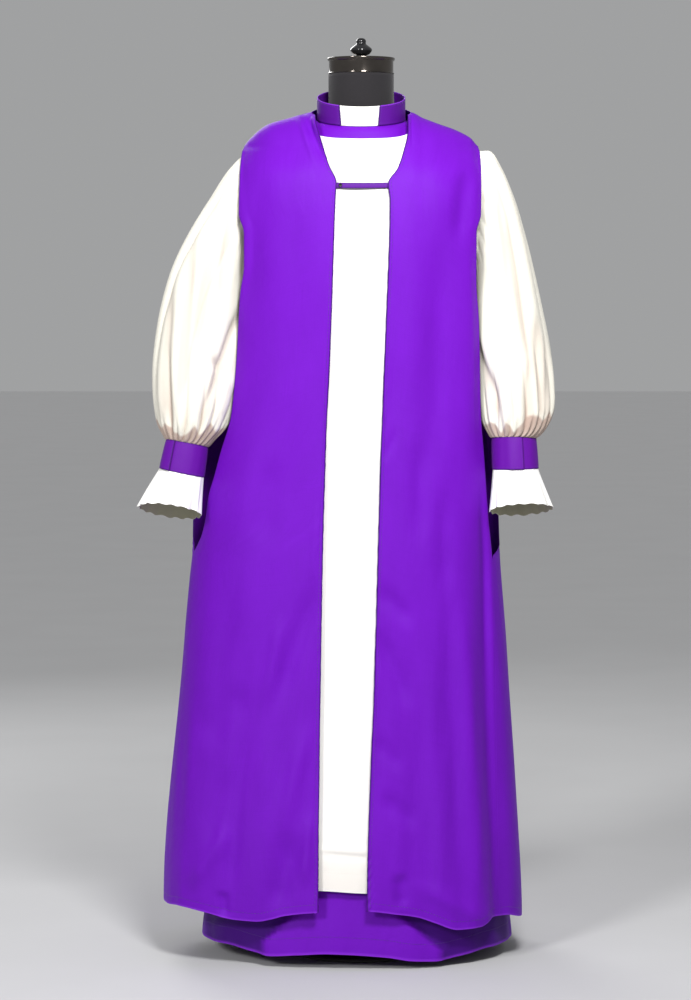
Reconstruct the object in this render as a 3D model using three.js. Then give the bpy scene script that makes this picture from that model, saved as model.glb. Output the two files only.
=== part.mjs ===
// A bishop's cassock worn with its rochet and chimere on a limbless dress form.
//
// Millimetres, +Z up, +X to the right of someone facing the front, and -Y towards them.
// The origin is the centre of the stand's underside, where it rests on the floor.
// Every garment panel is a thin wall. The panels of one garment share one surface, whose level
// sections are superellipses round the form's axis, and butt at their seams with a small gap.
import * as THREE from "three";

// --- Driving dimensions -----------------------------------------------------------------
const CLOTH = 2; // wall of every garment panel
const SEAM_GAP = 0.3; // between pieces that are sewn together
const SQUARENESS = 2.4; // exponent of the level sections: 2 is an ellipse, more is squarer
const SHOULDER_ROUND = 130; // height over which a panel turns from the shoulder to the chest

const NECK_RADIUS = 58.5;
const NECK_TOP = 1580;
const CAP_TOP = 1609;
const FINIAL_TOP = 1644;
const TORSO_BOTTOM = 745;
const POLE_RADIUS = 16;
const BASE_RADIUS = 140;
const BASE_THICKNESS = 12;

const VIOLET = { color: 0x5a14b4, roughness: 0.55, metalness: 0 };
const VIOLET_BAND = { color: 0x55149a, roughness: 0.55, metalness: 0 };
const WHITE = { color: 0xf4f1ea, roughness: 0.8, metalness: 0 };
const FORM_BLACK = { color: 0x1c1b1f, roughness: 0.85, metalness: 0 };
const STEEL = { color: 0x8b8880, roughness: 0.25, metalness: 1 };
const GLOSS_BLACK = { color: 0x0c0c0d, roughness: 0.2, metalness: 0 };

// --- Small helpers ----------------------------------------------------------------------
const mix = (a, b, share) => a + (b - a) * share;
const clamp01 = (value) => Math.min(1, Math.max(0, value));
const radians = (degrees) => (degrees * Math.PI) / 180;
const signedPower = (value, power) => Math.sign(value) * Math.abs(value) ** power;
const smooth = (value) => {
  const t = clamp01(value);
  return t * t * (3 - 2 * t);
};

// A smooth function through [at, value] pairs that never overshoots them (monotone cubic).
function curve(...pairs) {
  const points = [...pairs].sort((p, q) => p[0] - q[0]);
  const rise = points.slice(1).map((p, i) => (p[1] - points[i][1]) / (p[0] - points[i][0]));
  const slope = points.map((_, i) => {
    const [before, after] = [rise[i - 1], rise[i]];
    if (before === undefined || after === undefined || before * after <= 0) return 0;
    return (2 * before * after) / (before + after);
  });
  return (at) => {
    if (at <= points[0][0]) return points[0][1];
    const last = points.length - 1;
    if (at >= points[last][0]) return points[last][1];
    const i = points.findIndex((p, k) => at >= p[0] && at < points[k + 1][0]);
    const width = points[i + 1][0] - points[i][0];
    const t = (at - points[i][0]) / width;
    const [t2, t3] = [t * t, t * t * t];
    return (
      (2 * t3 - 3 * t2 + 1) * points[i][1] +
      (t3 - 2 * t2 + t) * width * slope[i] +
      (3 * t2 - 2 * t3) * points[i + 1][1] +
      (t3 - t2) * width * slope[i + 1]
    );
  };
}

// A closed wall between two grids of points, rows[j][i]: the outer one and the inner one behind it.
// Columns run anticlockwise seen from above and rows run down. A closed wall joins end to end.
function wall(outerRows, innerRows, closed = false) {
  const [nRows, nColumns] = [outerRows.length, outerRows[0].length];
  const vertices = [...outerRows, ...innerRows].flat().flatMap((p) => [p.x, p.y, p.z]);
  const faces = [];
  const quad = (a, b, c, d) => faces.push(a, b, c, a, c, d);
  const at = (j, i) => j * nColumns + (i % nColumns);
  const behind = nRows * nColumns;
  const [bottom, end] = [nRows - 1, nColumns - 1];
  const steps = closed ? nColumns : end;
  for (let j = 0; j < bottom; j++) {
    for (let i = 0; i < steps; i++) {
      const [a, b, c, d] = [at(j, i), at(j + 1, i), at(j + 1, i + 1), at(j, i + 1)];
      quad(a, b, c, d);
      quad(d + behind, c + behind, b + behind, a + behind);
    }
  }
  for (let i = 0; i < steps; i++) {
    quad(at(0, i + 1), at(0, i + 1) + behind, at(0, i) + behind, at(0, i));
    quad(at(bottom, i), at(bottom, i) + behind, at(bottom, i + 1) + behind, at(bottom, i + 1));
  }
  for (let j = 0; j < bottom && !closed; j++) {
    quad(at(j, 0), at(j, 0) + behind, at(j + 1, 0) + behind, at(j + 1, 0));
    quad(at(j + 1, end), at(j + 1, end) + behind, at(j, end) + behind, at(j, end));
  }
  return indexed(vertices, faces);
}
function indexed(vertices, faces) {
  const geometry = new THREE.BufferGeometry();
  geometry.setAttribute("position", new THREE.Float32BufferAttribute(vertices, 3));
  geometry.setIndex(faces);
  geometry.computeVertexNormals();
  return geometry;
}

// The grid behind a grid of outer points, one thickness in along each point's normal.
function behindGrid(rows, thickness, closed = false) {
  const [lastRow, count] = [rows.length - 1, rows[0].length];
  const column = (i) => (closed ? (i + count) % count : Math.min(count - 1, Math.max(0, i)));
  return rows.map((line, j) =>
    line.map((point, i) => {
      const along = line[column(i + 1)].clone().sub(line[column(i - 1)]);
      const down = rows[Math.min(lastRow, j + 1)][i].clone().sub(rows[Math.max(0, j - 1)][i]);
      return point.clone().addScaledVector(down.cross(along).normalize(), -thickness);
    }));
}
const sheet = (rows, thickness, closed) => wall(rows, behindGrid(rows, thickness, closed), closed);

// A solid through level rings, closed by a flat face at each end. Each ring is a list of points.
function loft(rings) {
  const around = rings[0].length;
  const vertices = rings.flat().flatMap((p) => [p.x, p.y, p.z]);
  const faces = [];
  for (let j = 0; j < rings.length - 1; j++) {
    for (let i = 0; i < around; i++) {
      const next = (i + 1) % around;
      const [a, b] = [j * around + i, j * around + next];
      faces.push(a, b, b + around, a, b + around, a + around);
    }
  }
  const top = (rings.length - 1) * around;
  for (let i = 1; i < around - 1; i++) {
    faces.push(0, i + 1, i);
    faces.push(top, top + i, top + i + 1);
  }
  return indexed(vertices, faces);
}

const object = new THREE.Group();
function add(name, geometry, look) {
  const mesh = new THREE.Mesh(geometry, new THREE.MeshStandardMaterial(look));
  mesh.name = name;
  object.add(mesh);
}

// --- Garment surfaces -------------------------------------------------------------------
// The garments lie over one another on one body. Its upper edge is the neck's seam, a sloping
// ellipse under the standing collar, and the line of the shoulders beyond it. A garment's layer is
// how far out it lies from the cassock, and its shoulder is where its shoulder line ends.
// The collar's notch is twice this angle wide at the top, a little narrower below, and worn turned
// to one side.
const COLLAR = { halfWidth: 79, halfDepth: 76, y: -6, notch: 27.5, narrower: 2.5, turn: -2.5, wall: 2 };
const NECK = { halfWidth: 78, halfDepth: 75, y: COLLAR.y };
const SHOULDER_END = 187;
const SHOULDER_GAP = 0.4; // of each panel's edge from the shoulder seam, where the walls turn over
const neckHeight = (y) => 1499 + 0.2 * y;
const SHOULDER_LINE = {
  left: curve([78, 1497.8], [95, 1493.5], [119, 1486], [144, 1478], [160, 1467], [177, 1449], [187, 1437]),
  right: curve([78, 1497.8], [97, 1488], [123, 1477], [148, 1467], [172, 1453], [187, 1437]),
};

// Each garment has its reach to the left, right, front and back at a height, and the height of its
// hem at a distance from the middle.
const chimere = {
  layer: 14,
  shoulder: 212,
  left: curve([94, 358], [530, 322], [650, 312], [717, 304], [827, 288], [970, 258], [1190, 240],
    [1330, 244], [1400, 240], [1440, 222], [1451, 212]),
  leftBehind: curve([94, 358], [530, 322], [650, 312], [717, 304.3], [788, 303], [830, 300],
    [915, 282], [970, 267], [1050, 252], [1190, 241], [1330, 244], [1400, 240], [1440, 222], [1451, 212]),
  right: curve([64, 289], [312, 277], [556, 262], [717, 251], [827, 247], [970, 239], [1210, 235],
    [1330, 241], [1400, 240], [1440, 222], [1451, 212]),
  front: curve([100, 214], [400, 186], [700, 162], [900, 148], [1050, 143], [1200, 142], [1330, 136],
    [1400, 126], [1451, 114]),
  back: curve([100, 240], [400, 200], [700, 165], [1000, 142], [1200, 138], [1330, 135], [1400, 126],
    [1451, 114]),
  hem: curve([-358, 95], [-319, 101], [-282, 97], [-224, 86], [-188, 85], [-162, 90], [-135, 98],
    [-78, 105], [6, 108], [66, 101], [100, 95], [131, 84], [171, 70], [207, 72], [237, 83], [262, 82],
    [289, 70]),
  hemBehind: curve([-358, 95], [-180, 84], [0, 82], [180, 78], [289, 70]),
};
const rochet = {
  layer: 7,
  shoulder: 199,
  left: curve([137, 322], [400, 292], [700, 240], [850, 205], [1000, 196], [1240, 197], [1330, 201],
    [1444, 199]),
  right: curve([137, 271], [400, 250], [700, 226], [850, 204], [1000, 196], [1240, 197], [1330, 201],
    [1444, 199]),
  front: curve([137, 200], [400, 174], [700, 151], [900, 138], [1050, 134], [1200, 133], [1330, 127],
    [1400, 117], [1444, 105]),
  back: curve([137, 224], [400, 186], [700, 153], [1000, 132], [1200, 129], [1330, 126], [1400, 117],
    [1444, 105]),
  neckline: curve([0, 1461], [40, 1462], [60, 1464], [74, 1467], [84, 1472], [92, 1483], [104, 1500]),
  necklineBehind: curve([0, 1500], [60, 1496], [92, 1491], [104, 1500]),
  hem: curve([-322, 142], [-76, 141], [9, 136.5], [271, 134]),
};
const cassock = {
  layer: 0,
  shoulder: SHOULDER_END,
  left: curve([15, 289], [137, 274], [400, 240], [700, 205], [1000, 182], [1200, 180], [1330, 188],
    [1437, 187]),
  right: curve([15, 274], [137, 260], [400, 230], [700, 200], [1000, 182], [1200, 180], [1330, 188],
    [1437, 187]),
  front: curve([15, 200], [137, 188], [400, 162], [700, 141], [900, 129], [1050, 126], [1200, 125],
    [1330, 118], [1400, 107], [1437, 97]),
  back: curve([15, 218], [137, 206], [400, 172], [700, 143], [1000, 123], [1200, 120], [1330, 117],
    [1400, 107], [1437, 97]),
  hem: curve([-289, 29], [-243, 32], [-198, 25.5], [-167, 21], [-110, 25.5], [-57, 28.5], [4, 26],
    [48, 22], [92, 15], [136, 13], [181, 18.5], [235, 25.5], [274, 25]),
  hemBehind: curve([-289, 29], [-150, 20], [0, 24], [150, 18], [274, 25]),
};

// The chimere's largest folds: where each lies at the hem, how wide it is, how far it stands out
// (troughs are negative) and the height at which it has died away.
const CHIMERE_FOLDS = [
  { angle: -58, width: 12, out: 7, until: 800 },
  { angle: -28, width: 9, out: -5, until: 700 },
  { angle: 20, width: 9, out: -5, until: 760 },
  { angle: 38, width: 12, out: 6, until: 760 },
  { angle: 56, width: 8, out: -9, until: 900 },
  { angle: 76, width: 13, out: 5, until: 760 },
  { angle: 118, width: 13, out: 14, until: 1150 },
  { angle: 143, width: 11, out: 18, until: 1350 },
  { angle: 168, width: 10, out: 16, until: 1380 },
  { angle: -167, width: 10, out: 17, until: 1380 },
  { angle: -142, width: 11, out: 18, until: 1350 },
  { angle: -116, width: 13, out: 13, until: 1150 },
];
const FOLD_FULL_AT = 150; // height at which every fold has its full depth

function foldsAt(folds, angle, z) {
  return folds.reduce((sum, fold) => {
    const grown = smooth((fold.until - z) / (fold.until - FOLD_FULL_AT));
    const away = (((angle - fold.angle + 540) % 360) - 180) / fold.width;
    return sum + fold.out * grown * Math.exp(-away * away);
  }, 0);
}

// The angle at which a garment's section at height z reaches x, in front of the side.
function angleOf(garment, x, z) {
  const reach = x < 0 ? garment.left(z) : garment.right(z);
  const share = clamp01(Math.abs(x) / reach) ** (SQUARENESS / 2);
  return (Math.sign(x) * Math.asin(share) * 180) / Math.PI;
}

// Where a garment's upper edge lies at x: its y, and its height before any neckline is cut.
function upperEdge(garment, x, behind) {
  const across = (Math.abs(x) * SHOULDER_END) / garment.shoulder;
  const side = behind ? 1 : -1;
  if (across < NECK.halfWidth) {
    const round = Math.sqrt(1 - (across / NECK.halfWidth) ** 2);
    const y = NECK.y + side * (NECK.halfDepth + 0.3 * garment.layer) * round;
    return { y, z: neckHeight(NECK.y + side * NECK.halfDepth * round) + garment.layer };
  }
  const line = x < 0 ? SHOULDER_LINE.left : SHOULDER_LINE.right;
  const y = NECK.y * (1 - smooth((across - NECK.halfWidth) / 100)) + side * SHOULDER_GAP;
  return { y, z: line(across) + garment.layer };
}

// The point of a garment's outer surface at an angle and height.
function surface(garment, angle, z, folds = []) {
  const [sin, cos] = [Math.sin(radians(angle)), Math.cos(radians(angle))];
  const power = 2 / SQUARENESS;
  const behind = cos < 0;
  const left = behind && garment.leftBehind ? garment.leftBehind : garment.left;
  const reach = sin < 0 ? left(z) : garment.right(z);
  const depth = behind ? garment.back(z) : garment.front(z);
  const out = foldsAt(folds, angle, z);
  const x = (reach + out) * signedPower(sin, power);
  const level = -(depth + out) * signedPower(cos, power);
  const edge = upperEdge(garment, x, behind);
  const below = clamp01((edge.z - z) / SHOULDER_ROUND);
  return new THREE.Vector3(x, mix(edge.y, level, Math.sqrt(1 - (1 - below) ** 2)), z);
}
function outwardAt(garment, angle, z, folds) {
  const [turn, rise] = [1.2, 3];
  const along = surface(garment, angle + turn, z, folds).sub(surface(garment, angle - turn, z, folds));
  const down = surface(garment, angle, z - rise, folds).sub(surface(garment, angle, z + rise, folds));
  return down.cross(along).normalize();
}

// The point one wall in from the surface, kept to its own side of the shoulder seam.
function innerPoint(garment, angle, z, folds) {
  const outward = outwardAt(garment, angle, z, folds);
  const point = surface(garment, angle, z, folds).addScaledVector(outward, -CLOTH);
  const behind = Math.cos(radians(angle)) < 0;
  const seam = upperEdge(garment, point.x, behind).y;
  point.y = behind ? Math.max(point.y, seam) : Math.min(point.y, seam);
  return point;
}

// The heights between which a garment's cloth lies at an angle.
function heights(garment, angle) {
  const x = garment.shoulder * signedPower(Math.sin(radians(angle)), 2 / SQUARENESS);
  const behind = Math.cos(radians(angle)) < 0;
  const neckline = behind ? garment.necklineBehind : garment.neckline;
  const uncut = upperEdge(garment, x, behind).z;
  const top = neckline ? Math.min(uncut, neckline(Math.abs(x))) : uncut;
  const low = (behind && garment.hemBehind) || garment.hem;
  const reach = x < 0 ? garment.left(0) : garment.right(0);
  return { top, hem: low((x * reach) / garment.shoulder) };
}

// A panel between two edges, each a function of height that gives an angle. Its rows crowd
// towards the shoulder, where the cloth turns over and the armholes and necklines are cut, and
// a body panel's columns crowd towards its neck.
const ROWS = [0, 0.004, 0.014, 0.03, 0.05, 0.072, 0.0915, 0.118, 0.145, 0.175, 0.24, 0.34, 0.44, 0.545,
  0.75, 1];
const even = (count) => Array.from({ length: count + 1 }, (_, i) => i / count);
const mirrored = (shares) => [
  ...shares.slice(1).reverse().map((share) => (1 - share) / 2),
  ...shares.map((share) => (1 + share) / 2),
];
const BODY_COLUMNS = mirrored([0, 0.1, 0.178, 0.228, 0.37, 0.56, 0.77, 1]);
const BACK_COLUMNS = mirrored([0, 0.06, 0.12, 0.18, 0.228, 0.3, 0.39, 0.49, 0.6, 0.72, 0.86, 1]);
function panel(garment, from, to, columns, folds) {
  const [outer, inner] = [[], []];
  for (const row of ROWS) {
    const line = [];
    for (const column of columns) {
      let z = mix(1500, 100, row);
      let angle = 0;
      for (let pass = 0; pass < 30; pass++) {
        angle = mix(from(z), to(z), column);
        const { top, hem } = heights(garment, angle);
        z = mix(z, mix(top, hem, row), 0.7);
      }
      line.push({ angle, z });
    }
    outer.push(line.map(({ angle, z }) => surface(garment, angle, z, folds)));
    inner.push(line.map(({ angle, z }) => innerPoint(garment, angle, z, folds)));
  }
  return wall(outer, inner);
}
// Half the seam gap as an angle.
const GAP_ANGLE = 0.07;

// --- Chimere: two fronts and a back, open at the sides down to the slit's end ---------------
const FRONT_EDGE_LEFT = curve([105, -76], [580, -71], [879, -64], [1125, -53.5], [1370, -45],
  [1382, -44], [1414, -57], [1446, -67.5], [1472, -75], [1490, -80], [1512, -82.5]);
const FRONT_EDGE_RIGHT = curve([105, 10], [545, 24], [914, 34.5], [1125, 43], [1352, 50], [1382, 47],
  [1409, 64], [1441, 75], [1475, 82.5], [1512, 83]);
const SLIT_LEFT = curve([94, 356], [650, 311], [717, 303], [755, 286], [788, 278], [827, 273],
  [861, 263], [909, 250], [970, 232], [1070, 222], [1190, 215], [1235, 208], [1296, 208], [1329, 217],
  [1400, 216], [1440, 213], [1451, 209.5]);
const SLIT_RIGHT = curve([64, 252], [400, 243], [717, 234], [790, 227], [840, 223], [909, 218],
  [970, 213], [1140, 209], [1210, 204], [1297, 204], [1329, 212], [1400, 213], [1440, 212],
  [1451, 209.5]);
const SLIT_BACK = curve([717, 0], [745, 1], [870, 1.05], [980, 1.6], [1100, 2]);

const chimereEdges = {
  outerLeft: (z) => angleOf(chimere, -SLIT_LEFT(z), z),
  outerRight: (z) => angleOf(chimere, SLIT_RIGHT(z), z),
};
// Behind the slit the back's free edge runs from the seam to behind the sleeve: SLIT_BACK is 0 at
// the seam, 1 at the side and 2 as far behind the side as the front's edge is before it.
function backEdge(outer, z) {
  const front = Math.abs(outer(z));
  const share = SLIT_BACK(z);
  return share < 1 ? mix(front, 90, share) : mix(90, 180 - front, share - 1);
}

function chimerePanels() {
  const { outerLeft, outerRight } = chimereEdges;
  const innerLeft = (z) => angleOf(chimere, FRONT_EDGE_LEFT(z), z);
  const innerRight = (z) => angleOf(chimere, FRONT_EDGE_RIGHT(z), z);
  add("chimere_front_left",
    panel(chimere, (z) => outerLeft(z) + GAP_ANGLE, innerLeft, even(10), CHIMERE_FOLDS), VIOLET);
  add("chimere_front_right",
    panel(chimere, innerRight, (z) => outerRight(z) - GAP_ANGLE, even(10), CHIMERE_FOLDS), VIOLET);
  add("chimere_back",
    panel(chimere, (z) => backEdge(outerRight, z) + GAP_ANGLE,
      (z) => 360 - backEdge(outerLeft, z) - GAP_ANGLE, BACK_COLUMNS, CHIMERE_FOLDS), VIOLET);
}

// The strap that holds the fronts together lies between them and the rochet.
const STRAP = { z: 1379, height: 9, thickness: 1.5, tuck: 12, outside: 4.4 };
function frontStrap() {
  const [left, right] = [FRONT_EDGE_LEFT(STRAP.z) - STRAP.tuck, FRONT_EDGE_RIGHT(STRAP.z) + STRAP.tuck];
  const columns = 8;
  const rows = [STRAP.height / 2, -STRAP.height / 2].map((up) =>
    Array.from({ length: columns + 1 }, (_, i) => {
      const z = STRAP.z + up;
      const point = surface(rochet, angleOf(rochet, mix(left, right, i / columns), z), z);
      return point.add(new THREE.Vector3(0, -STRAP.outside, 0));
    }));
  add("front_strap", sheet(rows, STRAP.thickness), VIOLET_BAND);
  const button = new THREE.SphereGeometry(3.2, 12, 8).scale(1, 0.5, 1);
  const place = surface(rochet, angleOf(rochet, -37, STRAP.z), STRAP.z);
  add("strap_button", button.translate(-37, place.y - STRAP.outside - 2.4, STRAP.z), GLOSS_BLACK);
}

// --- Rochet and cassock bodies: a front and a back joined at the sides, with armholes ---------
const ARMHOLE = { z: 1338, halfHeight: 110, halfDepth: 56 };

// How far an armhole's edge is from the side, in depth, at a height.
const armholeDepth = (z) =>
  ARMHOLE.halfDepth * Math.sqrt(Math.max(0, 1 - ((z - ARMHOLE.z) / ARMHOLE.halfHeight) ** 2));
function sideAngle(garment, z, behind) {
  const depth = (behind ? garment.back : garment.front)(z);
  const cos = (armholeDepth(z) / depth) ** (SQUARENESS / 2);
  const fromSide = (Math.asin(cos) * 180) / Math.PI;
  return behind ? 90 + fromSide : 90 - fromSide;
}
function bodyPanels(name, garment, look) {
  const side = (z, behind) => sideAngle(garment, z, behind);
  add(name + "_front",
    panel(garment, (z) => GAP_ANGLE - side(z, false), (z) => side(z, false) - GAP_ANGLE, BODY_COLUMNS),
    look);
  add(name + "_back",
    panel(garment, (z) => side(z, true) + GAP_ANGLE, (z) => 360 - side(z, true) - GAP_ANGLE,
      BODY_COLUMNS),
    look);
}

// --- Sleeves, wristbands and frills -------------------------------------------------------
// Rings down a sleeve: the outer and the inner point in the front view, half the depth, and how
// far forward the middle is. The sleeve starts at the rochet's armhole and ends at the wristband.
const LEFT_SLEEVE = [
  { outer: [-214, 1433], inner: [-205, 1236], depth: 55, y: 0 },
  { outer: [-236, 1411], inner: [-206, 1222], depth: 60, y: -2 },
  { outer: [-272, 1358], inner: [-206, 1200], depth: 67, y: -4 },
  { outer: [-304, 1306], inner: [-206, 1172], depth: 73, y: -7 },
  { outer: [-335, 1243], inner: [-208, 1142], depth: 76, y: -11 },
  { outer: [-357, 1168], inner: [-211, 1100], depth: 79, y: -17 },
  { outer: [-368, 1098], inner: [-216, 1058], depth: 80, y: -25 },
  { outer: [-371, 1036], inner: [-221, 1016], depth: 79, y: -32 },
  { outer: [-368, 986], inner: [-230, 979], depth: 74, y: -39 },
  { outer: [-360, 953], inner: [-245, 947], depth: 60, y: -47 },
  { outer: [-352, 936], inner: [-264, 926], depth: 44, y: -54 },
];
const RIGHT_SLEEVE = [
  { outer: [217, 1443], inner: [205, 1236], depth: 55, y: 0 },
  { outer: [230, 1452], inner: [206, 1226], depth: 60, y: -2 },
  { outer: [252, 1420], inner: [206, 1212], depth: 66, y: -4 },
  { outer: [272, 1366], inner: [206, 1190], depth: 71, y: -7 },
  { outer: [291, 1301], inner: [206, 1158], depth: 75, y: -11 },
  { outer: [307, 1235], inner: [206, 1118], depth: 78, y: -17 },
  { outer: [322, 1164], inner: [207, 1076], depth: 79, y: -24 },
  { outer: [336, 1092], inner: [210, 1034], depth: 78, y: -31 },
  { outer: [343, 1028], inner: [213, 992], depth: 74, y: -38 },
  { outer: [341, 976], inner: [219, 958], depth: 61, y: -46 },
  { outer: [326, 945], inner: [228, 938], depth: 45, y: -53 },
];
const SLEEVE_COLUMNS = 16;
const PLEAT_COUNT = 18;
const WRISTBANDS = {
  left: [
    { outer: [-348.5, 927.8], inner: [-273.2, 914.2], depth: 37, y: -57, rise: 0.1 },
    { outer: [-360, 879], inner: [-279.5, 862], depth: 39, y: -64, rise: 0.02 },
  ],
  right: [
    { outer: [312.6, 930.1], inner: [232.6, 931], depth: 37, y: -57, rise: 0.1 },
    { outer: [316.5, 878], inner: [233.5, 876], depth: 39, y: -64, rise: 0.02 },
  ],
};
// The same ring moved along the arm, for the piece sewn to a wristband.
const movedUp = (ring, up) => ({
  ...ring,
  outer: [ring.outer[0], ring.outer[1] + up],
  inner: [ring.inner[0], ring.inner[1] + up],
});

// A ring through its outer and inner points. rise is how far its front stands above its middle,
// as a share of its depth. The turn starts at the outer end and runs anticlockwise from above.
function ringPoint({ outer, inner, depth, y, rise = 0 }, turn, swell = 0) {
  const half = Math.hypot(outer[0] - inner[0], outer[1] - inner[1]) / 2;
  const across = (Math.cos(turn) * (half + swell)) / half / 2;
  const behind = Math.sign(outer[0]) * Math.sin(turn) * (depth + swell);
  return new THREE.Vector3(
    (outer[0] + inner[0]) / 2 + (outer[0] - inner[0]) * across,
    y + behind,
    (outer[1] + inner[1]) / 2 + (outer[1] - inner[1]) * across - behind * rise,
  );
}

// The sleeve's first ring, set in the rochet's armhole.
const SLEEVE_EASE = 4;
function armholePoint(side, turn) {
  const z = ARMHOLE.z + (ARMHOLE.halfHeight - SLEEVE_EASE) * Math.cos(turn);
  const y = side * (ARMHOLE.halfDepth - SLEEVE_EASE) * Math.sin(turn);
  const depth = (y < 0 ? rochet.front : rochet.back)(z);
  const reach = side < 0 ? rochet.left(z) : rochet.right(z);
  const x = reach * (1 - clamp01(Math.abs(y) / depth) ** SQUARENESS) ** (1 / SQUARENESS);
  return new THREE.Vector3(side * x, y, z);
}

function sleeve(name, side, rings, wristband) {
  const turns = Array.from({ length: SLEEVE_COLUMNS }, (_, i) => (2 * Math.PI * i) / SLEEVE_COLUMNS);
  const cuff = movedUp(wristband[0], 0.6);
  const rows = [turns.map((turn) => armholePoint(side, turn))];
  [...rings, cuff].forEach((ring) => rows.push(turns.map((turn) => ringPoint(ring, turn))));
  add(name, sheet(rows, CLOTH * 0.8, true), WHITE);
}

// A wristband is a strip wrapped once round the wrist, with its end lapped over its start.
const LAP = { from: 330, to: 382, out: 2.6 };
const LAP_START = { left: 38, right: 266 }; // degrees round from the outer end
function wristband(name, rings, start) {
  const columns = 24;
  const rows = rings.map((ring) =>
    Array.from({ length: columns + 1 }, (_, i) => {
      const turned = mix(0, LAP.to, i / columns);
      const swell = LAP.out * smooth((turned - LAP.from) / 24);
      return ringPoint(ring, radians(start + turned), swell);
    }));
  add(name, sheet(rows, CLOTH * 0.9), VIOLET_BAND);
}

// A frill is pleated: it is gathered into the wristband and its pleats open towards its rim.
const FRILLS = {
  left: [
    { outer: [-381, 843], inner: [-282, 828], depth: 44, y: -73, rise: 0.16 },
    { outer: [-398, 810.5], inner: [-284, 795], depth: 50, y: -84, rise: 0.31 },
  ],
  right: [
    { outer: [329, 843], inner: [230.5, 840], depth: 44, y: -79, rise: 0.15 },
    { outer: [341, 808.5], inner: [226.5, 803.5], depth: 48, y: -97, rise: 0.29 },
  ],
};
function frill(name, rings, wristband) {
  const columns = PLEAT_COUNT * 2;
  const rows = [movedUp(wristband[1], -0.6), ...rings].map((ring, j) =>
    Array.from({ length: columns }, (_, i) => {
      const swell = (i % 2 ? -1 : 1) * (0.8 + 1.4 * j) - 1.2;
      return ringPoint(ring, (2 * Math.PI * i) / columns, swell);
    }));
  add(name, sheet(rows, CLOTH * 0.6, true), WHITE);
}

// --- Neck: a standing collar, open in front over a white insert ---------------------------
const collarTop = (y) => 1539 + 0.26 * y;
function collarRows(inset, from, to, columns, above, narrower = 0) {
  return [1, 0].map((up) =>
    Array.from({ length: columns + 1 }, (_, i) => {
      const below = (1 - up) * narrower;
      const angle = radians(COLLAR.turn + mix(from - below, to + below, i / columns));
      const x = (COLLAR.halfWidth - inset) * Math.sin(angle);
      const y = COLLAR.y - (COLLAR.halfDepth - inset) * Math.cos(angle);
      return new THREE.Vector3(x, y, mix(neckHeight(y) + 1, collarTop(y) + above, up));
    }));
}
function collar() {
  const around = collarRows(0, COLLAR.notch, 360 - COLLAR.notch, 26, 0, COLLAR.narrower);
  add("cassock_collar", sheet(around, COLLAR.wall), VIOLET_BAND);
  add("collar_insert", sheet(collarRows(COLLAR.wall + 0.8, -47, 47, 12, 1.2), 1.2), WHITE);
}

// --- Dress form and stand -----------------------------------------------------------------
const TORSO = {
  side: curve([TORSO_BOTTOM, 163], [900, 166], [1050, 150], [1150, 152], [1250, 162], [1330, 170],
    [1400, 168], [1440, 145], [1462, 120], [1480, 88], [1494, 67], [1512, 61], [1540, NECK_RADIUS],
    [NECK_TOP, NECK_RADIUS]),
  front: curve([TORSO_BOTTOM, 98], [900, 105], [1050, 98], [1150, 100], [1330, 107], [1400, 94],
    [1440, 79], [1465, 67], [1490, 60], [1540, NECK_RADIUS], [NECK_TOP, NECK_RADIUS]),
  back: curve([TORSO_BOTTOM, 104], [900, 112], [1050, 97], [1150, 99], [1330, 106], [1400, 96],
    [1440, 76], [1465, 66], [1490, 60], [1540, NECK_RADIUS], [NECK_TOP, NECK_RADIUS]),
};
function levelRing(z, around, inset = 0) {
  return Array.from({ length: around }, (_, i) => {
    const angle = (2 * Math.PI * i) / around;
    const depth = Math.cos(angle) > 0 ? TORSO.front(z) : TORSO.back(z);
    const squareness = mix(2 / 2.3, 1, smooth((z - 1380) / 130));
    return new THREE.Vector3(
      (TORSO.side(z) - inset) * signedPower(Math.sin(angle), squareness),
      -(depth - inset) * signedPower(Math.cos(angle), squareness), z);
  });
}
function dressForm() {
  const heights = [760, 830, 900, 975, 1050, 1150, 1250, 1330, 1380, 1420, 1446, 1464, 1480, 1494,
    1510, 1540, NECK_TOP];
  const rings = [levelRing(TORSO_BOTTOM, 24, 12), ...heights.map((z) => levelRing(z, 24))];
  add("form_torso", loft(rings), FORM_BLACK);
}
// A turned piece: [radius, height] pairs from the bottom of the axis to its top.
function turned(name, profile, segments, look) {
  const points = profile.map(([radius, height]) => new THREE.Vector2(radius, height));
  add(name, new THREE.LatheGeometry(points, segments).rotateX(Math.PI / 2), look);
}
function neckCapAndStand() {
  const capBottom = NECK_TOP + SEAM_GAP;
  turned("neck_cap", [[0, capBottom], [59.5, capBottom], [59.5, CAP_TOP - 3], [60.5, CAP_TOP - 2],
    [59.5, CAP_TOP], [10, CAP_TOP], [0, CAP_TOP]], 48, STEEL);
  const finialBottom = CAP_TOP + SEAM_GAP;
  turned("cap_finial", [[0, finialBottom], [9, finialBottom], [9, CAP_TOP + 4], [17, CAP_TOP + 8],
    [19.8, CAP_TOP + 13.5], [17.5, CAP_TOP + 18], [11.5, CAP_TOP + 23], [8.5, CAP_TOP + 26],
    [8.2, CAP_TOP + 30], [5, FINIAL_TOP - 1], [0, FINIAL_TOP]], 24, GLOSS_BLACK);
  turned("stand_pole", [[0, BASE_THICKNESS + SEAM_GAP], [POLE_RADIUS, BASE_THICKNESS + SEAM_GAP],
    [POLE_RADIUS, TORSO_BOTTOM - SEAM_GAP], [0, TORSO_BOTTOM - SEAM_GAP]], 20, STEEL);
  turned("stand_base", [[0, 0], [BASE_RADIUS, 0], [BASE_RADIUS, 5], [BASE_RADIUS - 4, 8],
    [60, BASE_THICKNESS - 1], [40, BASE_THICKNESS], [0, BASE_THICKNESS]], 48, FORM_BLACK);
}

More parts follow.
